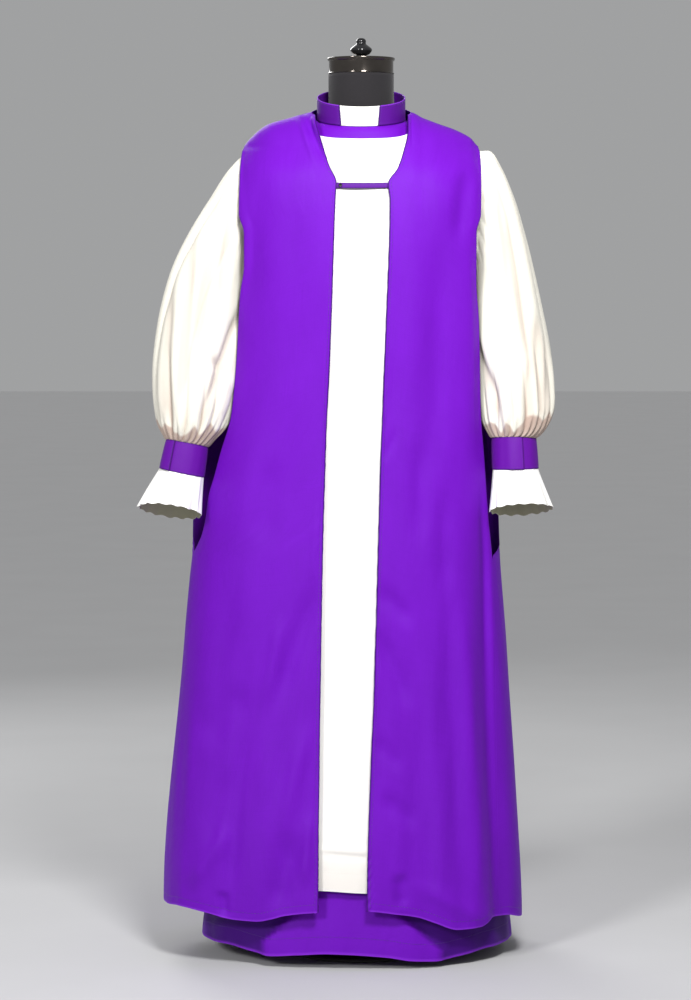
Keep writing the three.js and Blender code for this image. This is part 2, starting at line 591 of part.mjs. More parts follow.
chimerePanels();
frontStrap();
bodyPanels("rochet", rochet, WHITE);
bodyPanels("cassock", cassock, VIOLET);
sleeve("rochet_sleeve_left", -1, LEFT_SLEEVE, WRISTBANDS.left);
sleeve("rochet_sleeve_right", 1, RIGHT_SLEEVE, WRISTBANDS.right);
for (const side of ["left", "right"]) {
  wristband("wristband_" + side, WRISTBANDS[side], LAP_START[side]);
  frill("cuff_frill_" + side, FRILLS[side], WRISTBANDS[side]);
}
collar();
dressForm();
neckCapAndStand();

export default object;
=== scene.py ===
# Looks for the bishop's cassock, rochet and chimere on a dress form.
#
# Shapes are made in millimetres and turned to metres when a mesh is made. The panels follow the
# same surfaces as the CAD solids: level sections are superellipses round the form's axis.
# Grids of points are arrays [row, column, xyz]: columns run anticlockwise seen from above, rows
# run down, and row 0 is a panel's upper edge.
import math
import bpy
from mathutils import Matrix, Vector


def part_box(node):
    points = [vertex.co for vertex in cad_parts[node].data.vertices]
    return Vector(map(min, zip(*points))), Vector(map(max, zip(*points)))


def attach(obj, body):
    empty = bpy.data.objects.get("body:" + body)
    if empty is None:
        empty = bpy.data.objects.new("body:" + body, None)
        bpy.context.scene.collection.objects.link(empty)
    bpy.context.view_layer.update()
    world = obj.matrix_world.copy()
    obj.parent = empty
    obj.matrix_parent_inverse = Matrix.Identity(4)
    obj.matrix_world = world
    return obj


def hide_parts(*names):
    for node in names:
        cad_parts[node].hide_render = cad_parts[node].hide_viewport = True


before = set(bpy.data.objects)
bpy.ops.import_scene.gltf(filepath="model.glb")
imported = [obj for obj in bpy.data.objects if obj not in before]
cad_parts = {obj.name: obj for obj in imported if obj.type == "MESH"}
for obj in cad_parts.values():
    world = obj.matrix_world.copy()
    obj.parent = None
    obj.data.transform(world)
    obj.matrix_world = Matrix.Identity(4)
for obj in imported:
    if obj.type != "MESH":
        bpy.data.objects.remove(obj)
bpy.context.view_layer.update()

from types import SimpleNamespace

import bpy
import numpy as np
from mathutils import Vector

MM = 0.001
scene = bpy.context.scene


# --- Small helpers ------------------------------------------------------------------------
def mix(a, b, share):
    return a + (b - a) * share


def smooth(value):
    t = np.clip(value, 0, 1)
    return t * t * (3 - 2 * t)


def bell(value):
    return np.exp(-np.square(value))


def signed_power(value, power):
    return np.sign(value) * np.abs(value) ** power


def unit(vectors):
    return vectors / np.maximum(np.linalg.norm(vectors, axis=-1, keepdims=True), 1e-9)


def cubic(t, width, start, end, slope_start, slope_end):
    """The cubic from start to end over a width, with a slope at each end."""
    t2, t3 = t * t, t * t * t
    return (
        (2 * t3 - 3 * t2 + 1) * start
        + (t3 - 2 * t2 + t) * width * slope_start
        + (3 * t2 - 2 * t3) * end
        + (t3 - t2) * width * slope_end
    )


def curve(*pairs):
    """A smooth function through (at, value) pairs that never overshoots them."""
    at, value = np.array(sorted(pairs), float).T
    width = np.diff(at)
    rise = np.diff(value) / width
    before, after = rise[:-1], rise[1:]
    same = before * after > 0
    slope = np.zeros(len(at))
    slope[1:-1][same] = (2 * before * after)[same] / (before + after)[same]

    def evaluate(where):
        where = np.clip(np.asarray(where, float), at[0], at[-1])
        i = np.clip(np.searchsorted(at, where, side="right") - 1, 0, len(at) - 2)
        t = (where - at[i]) / width[i]
        return cubic(t, width[i], value[i], value[i + 1], slope[i], slope[i + 1])

    return evaluate


def shares(count, *stops):
    """count shares from 0 to 1, spread so that each (share of the count, share) stop is met."""
    met = np.array([(0, 0), *stops, (1, 1)], float).T
    return np.interp(np.linspace(0, 1, count), *met)


# --- Grids of points ----------------------------------------------------------------------
def normals(grid, closed=False):
    along = np.roll(grid, -1, 1) - np.roll(grid, 1, 1) if closed else np.gradient(grid, axis=1)
    return unit(np.cross(np.gradient(grid, axis=0), along))


def pushed(grid, amount, closed=False):
    """The grid moved along its own normals."""
    return grid + normals(grid, closed) * np.asarray(amount)[..., None]


def run_across(grid):
    """How far each point is from its row's first point, along the row."""
    steps = np.linalg.norm(np.diff(grid, axis=1), axis=-1)
    return np.pad(np.cumsum(steps, 1), ((0, 0), (1, 0)))


def run_down(grid):
    steps = np.linalg.norm(np.diff(grid, axis=0), axis=-1)
    return np.pad(np.cumsum(steps, 0), ((1, 0), (0, 0)))


def distances(grid):
    """Each point's distance to the left, right, upper and lower edge of its panel."""
    across, down = run_across(grid), run_down(grid)
    return SimpleNamespace(
        left=across, right=across[:, -1:] - across, top=down, hem=down[-1:] - down
    )


EDGE_RINGS = 3  # rings of points that round off a cloth's edge


def cloth_mesh(outer, inner, closed=False):
    """A closed thin wall between two grids with rounded edges: points, faces, and for each point
    the grid point it belongs to and whether it is on the inside."""
    rows, columns = outer.shape[:2]
    count = rows * columns
    index = np.arange(count).reshape(rows, columns)
    onward = np.roll(index, -1, 1) if closed else index[:, 1:]
    here = index if closed else index[:, :-1]
    front = np.stack([here[:-1], here[1:], onward[1:], onward[:-1]], -1).reshape(-1, 4)

    away = np.zeros_like(outer)
    away[0] += unit(outer[0] - outer[1])
    away[-1] += unit(outer[-1] - outer[-2])
    if closed:
        loops = [index[0], index[-1][::-1]]
    else:
        away[:, 0] += unit(outer[:, 0] - outer[:, 1])
        away[:, -1] += unit(outer[:, -1] - outer[:, -2])
        loops = [
            np.concatenate([index[0, :-1], index[:-1, -1], index[-1, :0:-1], index[:0:-1, 0]])
        ]
    flat_outer, flat_inner, flat_away = (g.reshape(-1, 3) for g in (outer, inner, away))
    points, faces = [flat_outer, flat_inner], [front, front[:, ::-1] + count]
    source = [np.arange(count)] * 2
    used = 2 * count
    for loop in loops:
        middle = (flat_outer[loop] + flat_inner[loop]) / 2
        half = flat_outer[loop] - middle
        direction = flat_away[loop]
        direction = direction - unit(half) * np.sum(direction * unit(half), -1, keepdims=True)
        bulge = unit(direction) * np.linalg.norm(half, axis=-1, keepdims=True)
        rings = [loop]
        for k in range(1, EDGE_RINGS + 1):
            turn = math.pi * k / (EDGE_RINGS + 1)
            points.append(middle + math.cos(turn) * half + math.sin(turn) * bulge)
            source.append(loop)
            rings.append(used + np.arange(len(loop)))
            used += len(loop)
        rings.append(loop + count)
        for near, far in zip(rings, rings[1:]):
            after, beyond = np.roll(near, -1), np.roll(far, -1)
            faces.append(np.stack([after, beyond, far, near], -1))
    inside = np.zeros(used)
    inside[count : 2 * count] = 1
    return np.concatenate(points), np.concatenate(faces), np.concatenate(source), inside


def solid_of_rings(rings):
    """Points and faces of a solid through closed rings [ring, point, xyz] with flat ends."""
    count, around = rings.shape[:2]
    index = np.arange(count * around).reshape(count, around)
    onward = np.roll(index, -1, 1)
    walls = np.stack([index[:-1], onward[:-1], onward[1:], index[1:]], -1).reshape(-1, 4)
    faces = walls.tolist() + [index[0, ::-1].tolist(), index[-1].tolist()]
    return rings.reshape(-1, 3), faces


def turned(profile, segments=96):
    """Points and faces of a turned piece from (radius, height) pairs, from its bottom up."""
    profile = np.array(profile, float)
    angle = np.arange(segments) * 2 * math.pi / segments
    rings = np.zeros((len(profile), segments, 3))
    rings[..., 0] = profile[:, :1] * np.cos(angle)
    rings[..., 1] = profile[:, :1] * np.sin(angle)
    rings[..., 2] = profile[:, 1:]
    return solid_of_rings(rings)


def make_piece(name, points, faces, look, slot, stands_for=(), fields=None):
    """A piece of the object from points in millimetres, with a number or vector for each point
    under each field's name."""
    mesh = bpy.data.meshes.new(name)
    faces = faces.tolist() if hasattr(faces, "tolist") else faces
    mesh.from_pydata((points * MM).tolist(), [], faces)
    mesh.polygons.foreach_set("use_smooth", np.ones(len(faces), bool))
    for field, values in (fields or {}).items():
        values = np.asarray(values, np.float32)
        kind, key = ("FLOAT", "value") if values.ndim == 1 else ("FLOAT_VECTOR", "vector")
        mesh.attributes.new(field, kind, "POINT").data.foreach_set(key, values.ravel())
    mesh.materials.append(look)
    piece = bpy.data.objects.new(name, mesh)
    scene.collection.objects.link(piece)
    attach(piece, "root")
    if stands_for:
        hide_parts(*stands_for)
    return piece


SHEETS, SEWN = {}, {}  # the cloths, and the stitches on them, by CAD node


def make_cloth(node, grid, thickness, look, slot, closed=False, **fields):
    """A CAD node's sheet of cloth, whose outer face is the grid. Its fields are grids of numbers."""
    thickness = np.broadcast_to(np.asarray(thickness, float), grid.shape[:2])
    inner = pushed(grid, -thickness, closed)
    points, faces, source, inside = cloth_mesh(grid, inner, closed)
    across, down = run_across(grid), run_down(grid)
    thread = np.stack([across, down, np.zeros_like(down)], -1).reshape(-1, 3)
    numbers = {"thread": thread[source], "inside": inside}
    for field, values in fields.items():
        numbers[field] = np.broadcast_to(values, grid.shape[:2]).reshape(-1)[source]
    SHEETS[node] = make_piece(f"{node}_cloth", points, faces, look, slot, [node], numbers)



# --- Stitches -----------------------------------------------------------------------------
STITCH_SIDES = 6
STITCH_RINGS = np.array([(-0.5, 0.3, -0.9), (-0.32, 1, 0.1), (0.32, 1, 0.1), (0.5, 0.3, -0.9)])


def make_stitches(name, lines, look, slot, length=3.6, pitch=5.6, radius=0.42):
    """A piece of short stitches along lines of (points, normals) lying on cloth."""
    turn = np.arange(STITCH_SIDES) * 2 * math.pi / STITCH_SIDES
    along = np.repeat(STITCH_RINGS[:, 0] * length, STITCH_SIDES)
    size = np.repeat(STITCH_RINGS[:, 1] * radius, STITCH_SIDES)
    lift = np.repeat(STITCH_RINGS[:, 2] * radius, STITCH_SIDES)
    aside = size * np.tile(np.cos(turn), len(STITCH_RINGS))
    upward = size * np.tile(np.sin(turn), len(STITCH_RINGS)) + lift
    per_stitch = len(along)
    index = np.arange(per_stitch).reshape(len(STITCH_RINGS), STITCH_SIDES)
    onward = np.roll(index, -1, 1)
    shape = [*np.stack([index[:-1], index[1:], onward[1:], onward[:-1]], -1).reshape(-1, 4)]
    shape += [index[0, [0, 1, 2, 3]], index[0, [0, 3, 4, 5]]]
    shape += [index[-1, [3, 2, 1, 0]], index[-1, [5, 4, 3, 0]]]
    shape = np.array(shape)
    points, faces, used = [], [], 0
    for line, outward in lines:
        reach = np.concatenate([[0], np.cumsum(np.linalg.norm(np.diff(line, axis=0), axis=1))])
        at = np.arange(pitch, reach[-1] - pitch, pitch)
        place, ahead, out = (
            np.stack([np.interp(at + shift, reach, values[:, k]) for k in range(3)], -1)
            for values, shift in ((line, 0), (line, 1), (outward, 0))
        )
        forward = unit(ahead - place)
        out = unit(out - forward * np.sum(out * forward, -1, keepdims=True))
        beside = np.cross(out, forward)
        made = (
            place[:, None]
            + forward[:, None] * along[:, None]
            + beside[:, None] * aside[:, None]
            + out[:, None] * upward[:, None]
        )
        points.append(made.reshape(-1, 3))
        faces.append((shape[None] + used + per_stitch * np.arange(len(at))[:, None, None]))
        used += made.shape[0] * per_stitch
    faces = np.concatenate([f.reshape(-1, 4) for f in faces])
    return make_piece(name, np.concatenate(points), faces, look, slot)


def line_at(grid, from_edge, distance, edge):
    """Points and normals of the line on a grid that lies a distance in from one of its edges."""
    gaps, lines, facing = from_edge, grid, normals(grid)
    if edge == "hem":
        gaps, lines, facing = gaps.T, lines.swapaxes(0, 1), facing.swapaxes(0, 1)
    inward = slice(None) if edge == "left" else slice(None, None, -1)
    picked = np.array([
        [[np.interp(distance, gap[inward], values[inward, k]) for k in range(3)]
         for values in (line, out)]
        for gap, line, out in zip(gaps, lines, facing)
    ])
    return picked[:, 0], picked[:, 1]


# --- Materials ----------------------------------------------------------------------------
class Look:
    """A material of one Principled shader and the nodes that feed it."""

    def __init__(self, name, **values):
        self.material = bpy.data.materials.new(name)
        self.material.use_nodes = True
        self.tree = self.material.node_tree
        self.shader = self.tree.nodes["Principled BSDF"]
        for socket, value in values.items():
            socket = socket.replace("_", " ").title().replace("Ior", "IOR")
            self.shader.inputs[socket].default_value = value

    def node(self, kind, sockets=None, **settings):
        """A new node, with each of its sockets set to a value or fed by an output."""
        made = self.tree.nodes.new("ShaderNode" + kind)
        for key, value in settings.items():
            setattr(made, key, value)
        for socket, value in (sockets or {}).items():
            if isinstance(value, bpy.types.NodeSocket):
                self.tree.links.new(value, made.inputs[socket])
            else:
                made.inputs[socket].default_value = value
        return made

    def field(self, name, output="Fac"):
        return self.node("Attribute", attribute_name=name).outputs[output]

    def math(self, operation, a, b=0.0, c=0.0):
        return self.node("Math", {0: a, 1: b, 2: c}, operation=operation).outputs[0]

    def scaled(self, vector, x, y, z):
        return self.node("VectorMath", {0: vector, 1: (x, y, z)}, operation="MULTIPLY").outputs[0]

    def noise(self, vector, scale=1.0, detail=2.0, roughness=0.5):
        sockets = {"Vector": vector, "Scale": scale, "Detail": detail, "Roughness": roughness}
        return self.node("TexNoise", sockets).outputs["Fac"]

    def ranged(self, value, low, high, to_low, to_high):
        sockets = {0: value, 1: low, 2: high, 3: to_low, 4: to_high}
        return self.node("MapRange", sockets).outputs[0]

    def blend(self, share, a, b, kind="MIX"):
        sockets = {0: share, 6: a, 7: b}
        return self.node("Mix", sockets, data_type="RGBA", blend_type=kind).outputs[2]

    def bump(self, height, distance, strength=1.0, onto=None):
        sockets = {"Height": height, "Distance": distance, "Strength": strength}
        if onto is not None:
            sockets["Normal"] = onto
        return self.node("Bump", sockets).outputs[0]

    def into(self, socket, output):
        self.tree.links.new(output, self.shader.inputs[socket])

    def weave(self, thread, pitch):
        """The height of a plain weave's crossings, and which of its two threads is on top."""
        axes = self.node("SeparateXYZ", {0: thread})
        x, y = (self.math("MULTIPLY", axes.outputs[k], math.pi / pitch) for k in (0, 1))
        product = self.math("MULTIPLY", self.math("SINE", x), self.math("SINE", y))
        height = self.math("POWER", self.math("ABSOLUTE", product), 0.5)
        return height, self.ranged(product, -0.3, 0.3, 0.0, 1.0)


def grey(value):
    return (value, value, value, 1.0)


def cloth_look(name, colour, shade_tone, light, pitch, streak, crumple, inner=0.5, **values):
    """Woven cloth. colour is its face; the next colour is the painted shade in its folds and on its inside,
    and darker still along its edges; light is the painted highlight along its hem. The fields edge,
    shade, inside and the hem's highlight field, each from 0 to 1, say where those tones lie: shade and
    inside mark painted shade, the highlight field a painted highlight, and edge a darkening that is
    partly a dark piping and partly painted shade where the cloth turns from the light."""
    look = Look(name, **values)
    thread = look.field("thread", "Vector")
    height, top_thread = look.weave(thread, pitch)
    slubs = look.noise(look.scaled(thread, 0.9, 0.012, 1), 1.0, 3.0)
    cross_slubs = look.noise(look.scaled(thread, 0.012, 0.9, 1), 1.0, 3.0)
    cloud = look.noise(look.scaled(thread, 0.011, 0.006, 1), 1.0, 2.0)
    tone = look.blend(look.ranged(cloud, 0.3, 0.7, 0.0, 1.0), grey(1 - streak), grey(1 + streak))
    face = look.blend(1.0, (*colour, 1), tone, "MULTIPLY")
    lines = look.math("MULTIPLY", look.math("ADD", slubs, cross_slubs), 0.5)
    grain = look.blend(look.ranged(lines, 0.35, 0.65, 0.0, 1.0), grey(1 - streak), grey(1 + streak))
    face = look.blend(1.0, face, grain, "MULTIPLY")
    yarns = look.blend(top_thread, grey(0.96), grey(1.03))
    face = look.blend(1.0, face, yarns, "MULTIPLY")
    # Painted shade and light: the shade field and the inside faces (by the share inner) are painted towards the
    # shade colour, the hem's highlight field is a painted highlight, and the edge field is partly a dark piping and
    # partly painted shade.
    face = look.blend(look.field("shade"), face, (*shade_tone, 1))
    face = look.blend(look.field("rim"), face, (*light, 1))
    face = look.blend(look.field("edge"), face, (*(0.55 * k for k in shade_tone), 1))
    face = look.blend(look.math("MULTIPLY", look.field("inside"), inner), face, (*shade_tone, 1))
    look.into("Base Color", face)
    rough = look.ranged(lines, 0.3, 0.7, values["roughness"] - 0.05, values["roughness"] + 0.07)
    look.into("Roughness", rough)
    folds = look.noise(look.scaled(thread, 0.02, 0.008, 1), 1.0, 3.0, 0.55)
    relief = look.bump(folds, crumple, 1.0)
    relief = look.bump(lines, 0.00012, 0.6, relief)
    look.into("Normal", look.bump(height, 0.00008, 0.5, relief))
    return look.material


# Each look's inner share paints the cloth's inside faces towards its shade colour: painted shade.
VIOLET = cloth_look(
    "violet_robe_cloth", (0.124, 0.0035, 0.39), (0.042, 0.002, 0.15), (0.25, 0.03, 0.66), 0.5, 0.04,
    0.0016, 0.15, roughness=0.56, sheen_weight=0.05, sheen_roughness=0.4, sheen_tint=(0.5, 0.15, 1, 1),
    specular_ior_level=0.12,
)
VIOLET_BAND = cloth_look(
    "violet_stiffened_cloth", (0.103, 0.004, 0.27), (0.040, 0.002, 0.13), (0.24, 0.04, 0.6), 0.5,
    0.03, 0.0004, roughness=0.52, sheen_weight=0.06, sheen_roughness=0.4,
    sheen_tint=(0.5, 0.15, 1, 1), specular_ior_level=0.15,
)
WHITE = cloth_look(
    "white_rochet_lawn", (0.82, 0.80, 0.765), (0.56, 0.50, 0.43), (0.9, 0.89, 0.86), 0.4, 0.012,
    0.0008, roughness=0.78, sheen_weight=0.1, sheen_roughness=0.5, specular_ior_level=0.2,
)
# Its pinkish-brown second colour is the painted shade of the sleeves' gathers and creases.
SLEEVE_WHITE = cloth_look(
    "ivory_sleeve_lawn", (0.74, 0.715, 0.63), (0.40, 0.285, 0.235), (0.9, 0.89, 0.86), 0.4, 0.014,
    0.0012, roughness=0.78, sheen_weight=0.1, sheen_roughness=0.5, specular_ior_level=0.2,
)
# Its olive-grey second colour, laid on its inside at 0.85, is painted shade between the pleats.
FRILL_WHITE = cloth_look(
    "white_frill_lawn", (0.87, 0.86, 0.83), (0.40, 0.385, 0.25), (0.9, 0.89, 0.86), 0.4, 0.012,
    0.0003, 0.85, roughness=0.78, sheen_weight=0.1, sheen_roughness=0.5, specular_ior_level=0.2,
)


def thread_look(name, colour):
    look = Look(name, roughness=0.5, sheen_weight=0.2, specular_ior_level=0.4)
    place = look.node("TexCoord").outputs["Object"]
    twist = look.noise(look.scaled(place, 2600, 2600, 2600), 1.0, 1.0)
    shade = look.blend(look.ranged(twist, 0.35, 0.65, 0.0, 1.0), grey(0.75), grey(1.15))
    look.into("Base Color", look.blend(1.0, (*colour, 1), shade, "MULTIPLY"))
    look.into("Normal", look.bump(twist, 0.0001, 0.6))
    return look.material


VIOLET_THREAD = thread_look("violet_thread", (0.05, 0.003, 0.17))
WHITE_THREAD = thread_look("white_thread", (0.78, 0.77, 0.73))


def jersey_look():
    look = Look("black_form_jersey", roughness=0.85, sheen_weight=0.12, sheen_roughness=0.5,
                specular_ior_level=0.2)
    place = look.node("TexCoord").outputs["Object"]
    ribs = look.node("TexWave", {"Vector": place, "Scale": 420.0, "Distortion": 0.4},
                     wave_type="BANDS", bands_direction="Z").outputs["Fac"]
    lint = look.noise(look.scaled(place, 900, 900, 260), 1.0, 3.0)
    cloud = look.noise(place, 14.0, 2.0)
    face = look.blend(cloud, (0.011, 0.010, 0.012, 1), (0.019, 0.017, 0.019, 1))
    specks = look.ranged(lint, 0.62, 0.8, 0.0, 0.5)
    look.into("Base Color", look.blend(specks, face, (0.04, 0.037, 0.04, 1)))
    relief = look.bump(lint, 0.0003, 0.5)
    look.into("Normal", look.bump(ribs, 0.0002, 0.4, relief))
    return look.material


def metal_look(name, low, high, roughness, grain=(1, 1, 1), metallic=1.0, bump=0.00003):
    """Polished, brushed or cast metal: two tones, smudged, with a grain."""
    look = Look(name, metallic=metallic)
    place = look.node("TexCoord").outputs["Object"]
    smudge = look.noise(place, 26.0, 3.0)
    lines = look.noise(look.scaled(place, *grain), 1.0, 2.0)
    look.into("Base Color", look.blend(smudge, (*low, 1), (*high, 1)))
    both = look.math("MULTIPLY", look.math("ADD", smudge, lines), 0.5)
    look.into("Roughness", look.ranged(both, 0.3, 0.7, roughness * 0.7, roughness * 1.4))
    look.into("Normal", look.bump(lines, bump, 0.5))
    return look.material


JERSEY = jersey_look()
# Painted reflection: the chrome's base colour is made very dark, in two smudged tones, to stand for dark
# surroundings reflected in it.
CHROME = metal_look("chrome_painted_dark_reflection", (0.07, 0.062, 0.056), (0.17, 0.15, 0.135), 0.12, (90, 90, 4))
GLOSS = metal_look("gloss_black_plastic", (0.006, 0.006, 0.007), (0.012, 0.012, 0.013), 0.16,
                   (300, 300, 300), metallic=0.0, bump=0.00002)
STEEL = metal_look("brushed_pole_steel", (0.42, 0.42, 0.43), (0.55, 0.55, 0.55), 0.28,
                   (900, 900, 12))
IRON = metal_look("black_cast_iron", (0.018, 0.018, 0.019), (0.035, 0.034, 0.034), 0.62,
                  (900, 900, 900), metallic=0.0, bump=0.0004)

# --- The garments' shared surfaces ----------------------------------------------------------
SQUARENESS = 2.4
SHOULDER_ROUND = 130
SHOULDER_END = 187
SHOULDER_GAP = 0.4
NECK = SimpleNamespace(half_width=78, half_depth=75, y=-6)
COLLAR = SimpleNamespace(half_width=79, half_depth=76, y=-6, notch=27.5, narrower=2.5, turn=-2.5,
                         wall=2)
SHOULDER_LEFT = curve((78, 1497.8), (95, 1493.5), (119, 1486), (144, 1478), (160, 1467), (177, 1449),
                      (187, 1437))
SHOULDER_RIGHT = curve((78, 1497.8), (97, 1488), (123, 1477), (148, 1467), (172, 1453), (187, 1437))


def garment(layer, shoulder, left, right, front, back, hem, **other):
    """A garment by its reach at each height, its hem's height across, and its layer: how far out
    it lies from the cassock."""
    made = SimpleNamespace(layer=layer, shoulder=shoulder, left=left, right=right, front=front,
                           back=back, hem=hem, left_behind=left, hem_behind=hem, neckline=None,
                           neckline_behind=None)
    made.__dict__.update(other)
    return made


CHIMERE = garment(
    14, 212,
    left=curve((94, 358), (530, 322), (650, 312), (717, 304), (827, 288), (970, 258), (1190, 240),
               (1330, 244), (1400, 240), (1440, 222), (1451, 212)),
    left_behind=curve((94, 358), (530, 322), (650, 312), (717, 304.3), (788, 303), (830, 300),
                      (915, 282), (970, 267), (1050, 252), (1190, 241), (1330, 244), (1400, 240),
                      (1440, 222), (1451, 212)),
    right=curve((64, 289), (312, 277), (556, 262), (717, 251), (827, 247), (970, 239), (1210, 235),
                (1330, 241), (1400, 240), (1440, 222), (1451, 212)),
    front=curve((100, 214), (400, 186), (700, 162), (900, 148), (1050, 143), (1200, 142), (1330, 136),
                (1400, 126), (1451, 114)),
    back=curve((100, 240), (400, 200), (700, 165), (1000, 142), (1200, 138), (1330, 135), (1400, 126),
               (1451, 114)),
    hem=curve((-358, 95), (-319, 101), (-282, 97), (-224, 86), (-188, 85), (-162, 90), (-135, 98),
              (-78, 105), (6, 108), (66, 101), (100, 95), (131, 84), (171, 70), (207, 72), (237, 83),
              (262, 82), (289, 70)),
    hem_behind=curve((-358, 95), (-180, 84), (0, 82), (180, 78), (289, 70)),
)
ROCHET = garment(
    7, 199,
    left=curve((137, 322), (400, 292), (700, 240), (850, 205), (1000, 196), (1240, 197), (1330, 201),
               (1444, 199)),
    right=curve((137, 271), (400, 250), (700, 226), (850, 204), (1000, 196), (1240, 197), (1330, 201),
                (1444, 199)),
    front=curve((137, 200), (400, 174), (700, 151), (900, 138), (1050, 134), (1200, 133), (1330, 127),
                (1400, 117), (1444, 105)),
    back=curve((137, 224), (400, 186), (700, 153), (1000, 132), (1200, 129), (1330, 126), (1400, 117),
               (1444, 105)),
    hem=curve((-322, 142), (-76, 141), (9, 136.5), (271, 134)),
    neckline=curve((0, 1461), (40, 1462), (60, 1464), (74, 1467), (84, 1472), (92, 1483), (104, 1500)),
    neckline_behind=curve((0, 1500), (60, 1496), (92, 1491), (104, 1500)),
)
CASSOCK = garment(
    0, SHOULDER_END,
    left=curve((15, 289), (137, 274), (400, 240), (700, 205), (1000, 182), (1200, 180), (1330, 188),
               (1437, 187)),
    right=curve((15, 274), (137, 260), (400, 230), (700, 200), (1000, 182), (1200, 180), (1330, 188),
                (1437, 187)),
    front=curve((15, 200), (137, 188), (400, 162), (700, 141), (900, 129), (1050, 126), (1200, 125),
                (1330, 118), (1400, 107), (1437, 97)),
    back=curve((15, 218), (137, 206), (400, 172), (700, 143), (1000, 123), (1200, 120), (1330, 117),
               (1400, 107), (1437, 97)),
    hem=curve((-289, 29), (-243, 32), (-198, 25.5), (-167, 21), (-110, 25.5), (-57, 28.5), (4, 26),
              (48, 22), (92, 15), (136, 13), (181, 18.5), (235, 25.5), (274, 25)),
    hem_behind=curve((-289, 29), (-150, 20), (0, 24), (150, 18), (274, 25)),
)

# The chimere's largest folds: the angle of each at the hem, its width, how far it stands out and
# the height at which it has died away.
CHIMERE_FOLDS = [
    (-58, 12, 7, 800), (-28, 9, -5, 700), (20, 9, -5, 760), (38, 12, 6, 760), (56, 8, -9, 900),
    (76, 13, 5, 760), (118, 13, 14, 1150), (143, 11, 18, 1350), (168, 10, 16, 1380),
    (-167, 10, 17, 1380), (-142, 11, 18, 1350), (-116, 13, 13, 1150),
]
FOLD_FULL_AT = 150


def neck_height(y):
    return 1499 + 0.2 * y


def folds_at(folds, angle, z):
    total = np.zeros(np.broadcast(angle, z).shape)
    for centre, width, out, until in folds:
        grown = smooth((until - z) / (until - FOLD_FULL_AT))
        total += out * grown * bell(((angle - centre + 540) % 360 - 180) / width)
    return total


def angle_of(cut, x, z):
    """The angle at which a garment's section at height z reaches x, in front of the side."""
    reach = np.where(x < 0, cut.left(z), cut.right(z))
    share = np.clip(np.abs(x) / reach, 0, 1) ** (SQUARENESS / 2)
    return np.sign(x) * np.degrees(np.arcsin(share))


def upper_edge(cut, x, behind):
    """Where a garment's upper edge lies at x: its y, and its height before a neckline is cut."""
    across = np.abs(x) * SHOULDER_END / cut.shoulder
    side = np.where(behind, 1.0, -1.0)
    round_in = np.sqrt(np.clip(1 - (across / NECK.half_width) ** 2, 0, 1))
    neck_y = NECK.y + side * (NECK.half_depth + 0.3 * cut.layer) * round_in
    neck_z = neck_height(NECK.y + side * NECK.half_depth * round_in) + cut.layer
    line = np.where(x < 0, SHOULDER_LEFT(across), SHOULDER_RIGHT(across))
    seam_y = NECK.y * (1 - smooth((across - NECK.half_width) / 100)) + side * SHOULDER_GAP
    in_neck = across < NECK.half_width
    return np.where(in_neck, neck_y, seam_y), np.where(in_neck, neck_z, line + cut.layer)


def surface(cut, angle, z, folds=()):
    """The point of a garment's outer surface at an angle and height."""
    sin, cos = np.sin(np.radians(angle)), np.cos(np.radians(angle))
    behind = cos < 0
    reach = np.where(sin < 0, np.where(behind, cut.left_behind(z), cut.left(z)), cut.right(z))
    depth = np.where(behind, cut.back(z), cut.front(z))
    out = folds_at(folds, angle, z)
    x = (reach + out) * signed_power(sin, 2 / SQUARENESS)
    level = -(depth + out) * signed_power(cos, 2 / SQUARENESS)
    edge_y, edge_z = upper_edge(cut, x, behind)
    below = np.clip((edge_z - z) / SHOULDER_ROUND, 0, 1)
    y = mix(edge_y, level, np.sqrt(1 - (1 - below) ** 2))
    return np.stack([x, y, z], -1)


def heights(cut, angle):
    """The heights between which a garment's cloth lies at an angle."""
    x = cut.shoulder * signed_power(np.sin(np.radians(angle)), 2 / SQUARENESS)
    behind = np.cos(np.radians(angle)) < 0
    top = upper_edge(cut, x, behind)[1]
    for neckline, there in ((cut.neckline, ~behind), (cut.neckline_behind, behind)):
        if neckline is not None:
            top = np.where(there, np.minimum(top, neckline(np.abs(x))), top)
    at = x * np.where(x < 0, cut.left(0), cut.right(0)) / cut.shoulder
    return top, np.where(behind, cut.hem_behind(at), cut.hem(at))


def panel(cut, edge_from, edge_to, columns, rows, folds=()):
    """A panel between two edges, each a function of height that gives an angle."""
    down = rows[:, None]
    z = mix(1500, 100, down) * np.ones(len(columns))
    for _ in range(30):
        angle = mix(edge_from(z), edge_to(z), columns)
        top, hem = heights(cut, angle)
        z = mix(z, mix(top, hem, down), 0.7)
    return surface(cut, angle, z, folds)


CREASE_STRENGTH = 2  # how many times deeper than listed the creases are made


def creased(grid, creases):
    """How far listed creases move a grid. Each runs from (x, z) to (x, z) and has a width and
    a height: a soft ridge, or a trough if its height is negative."""
    x, z = grid[..., 0], grid[..., 2]
    total = np.zeros(x.shape)
    for x0, z0, x1, z1, width, out in creases:
        length = math.hypot(x1 - x0, z1 - z0)
        along = ((x - x0) * (x1 - x0) + (z - z0) * (z1 - z0)) / length
        aside = ((x - x0) * (z1 - z0) - (z - z0) * (x1 - x0)) / length
        ends = smooth((along / length + 0.25) / 0.5) * smooth((1.25 - along / length) / 0.5)
        total += out * ends * bell(aside / width)
    return CREASE_STRENGTH * total


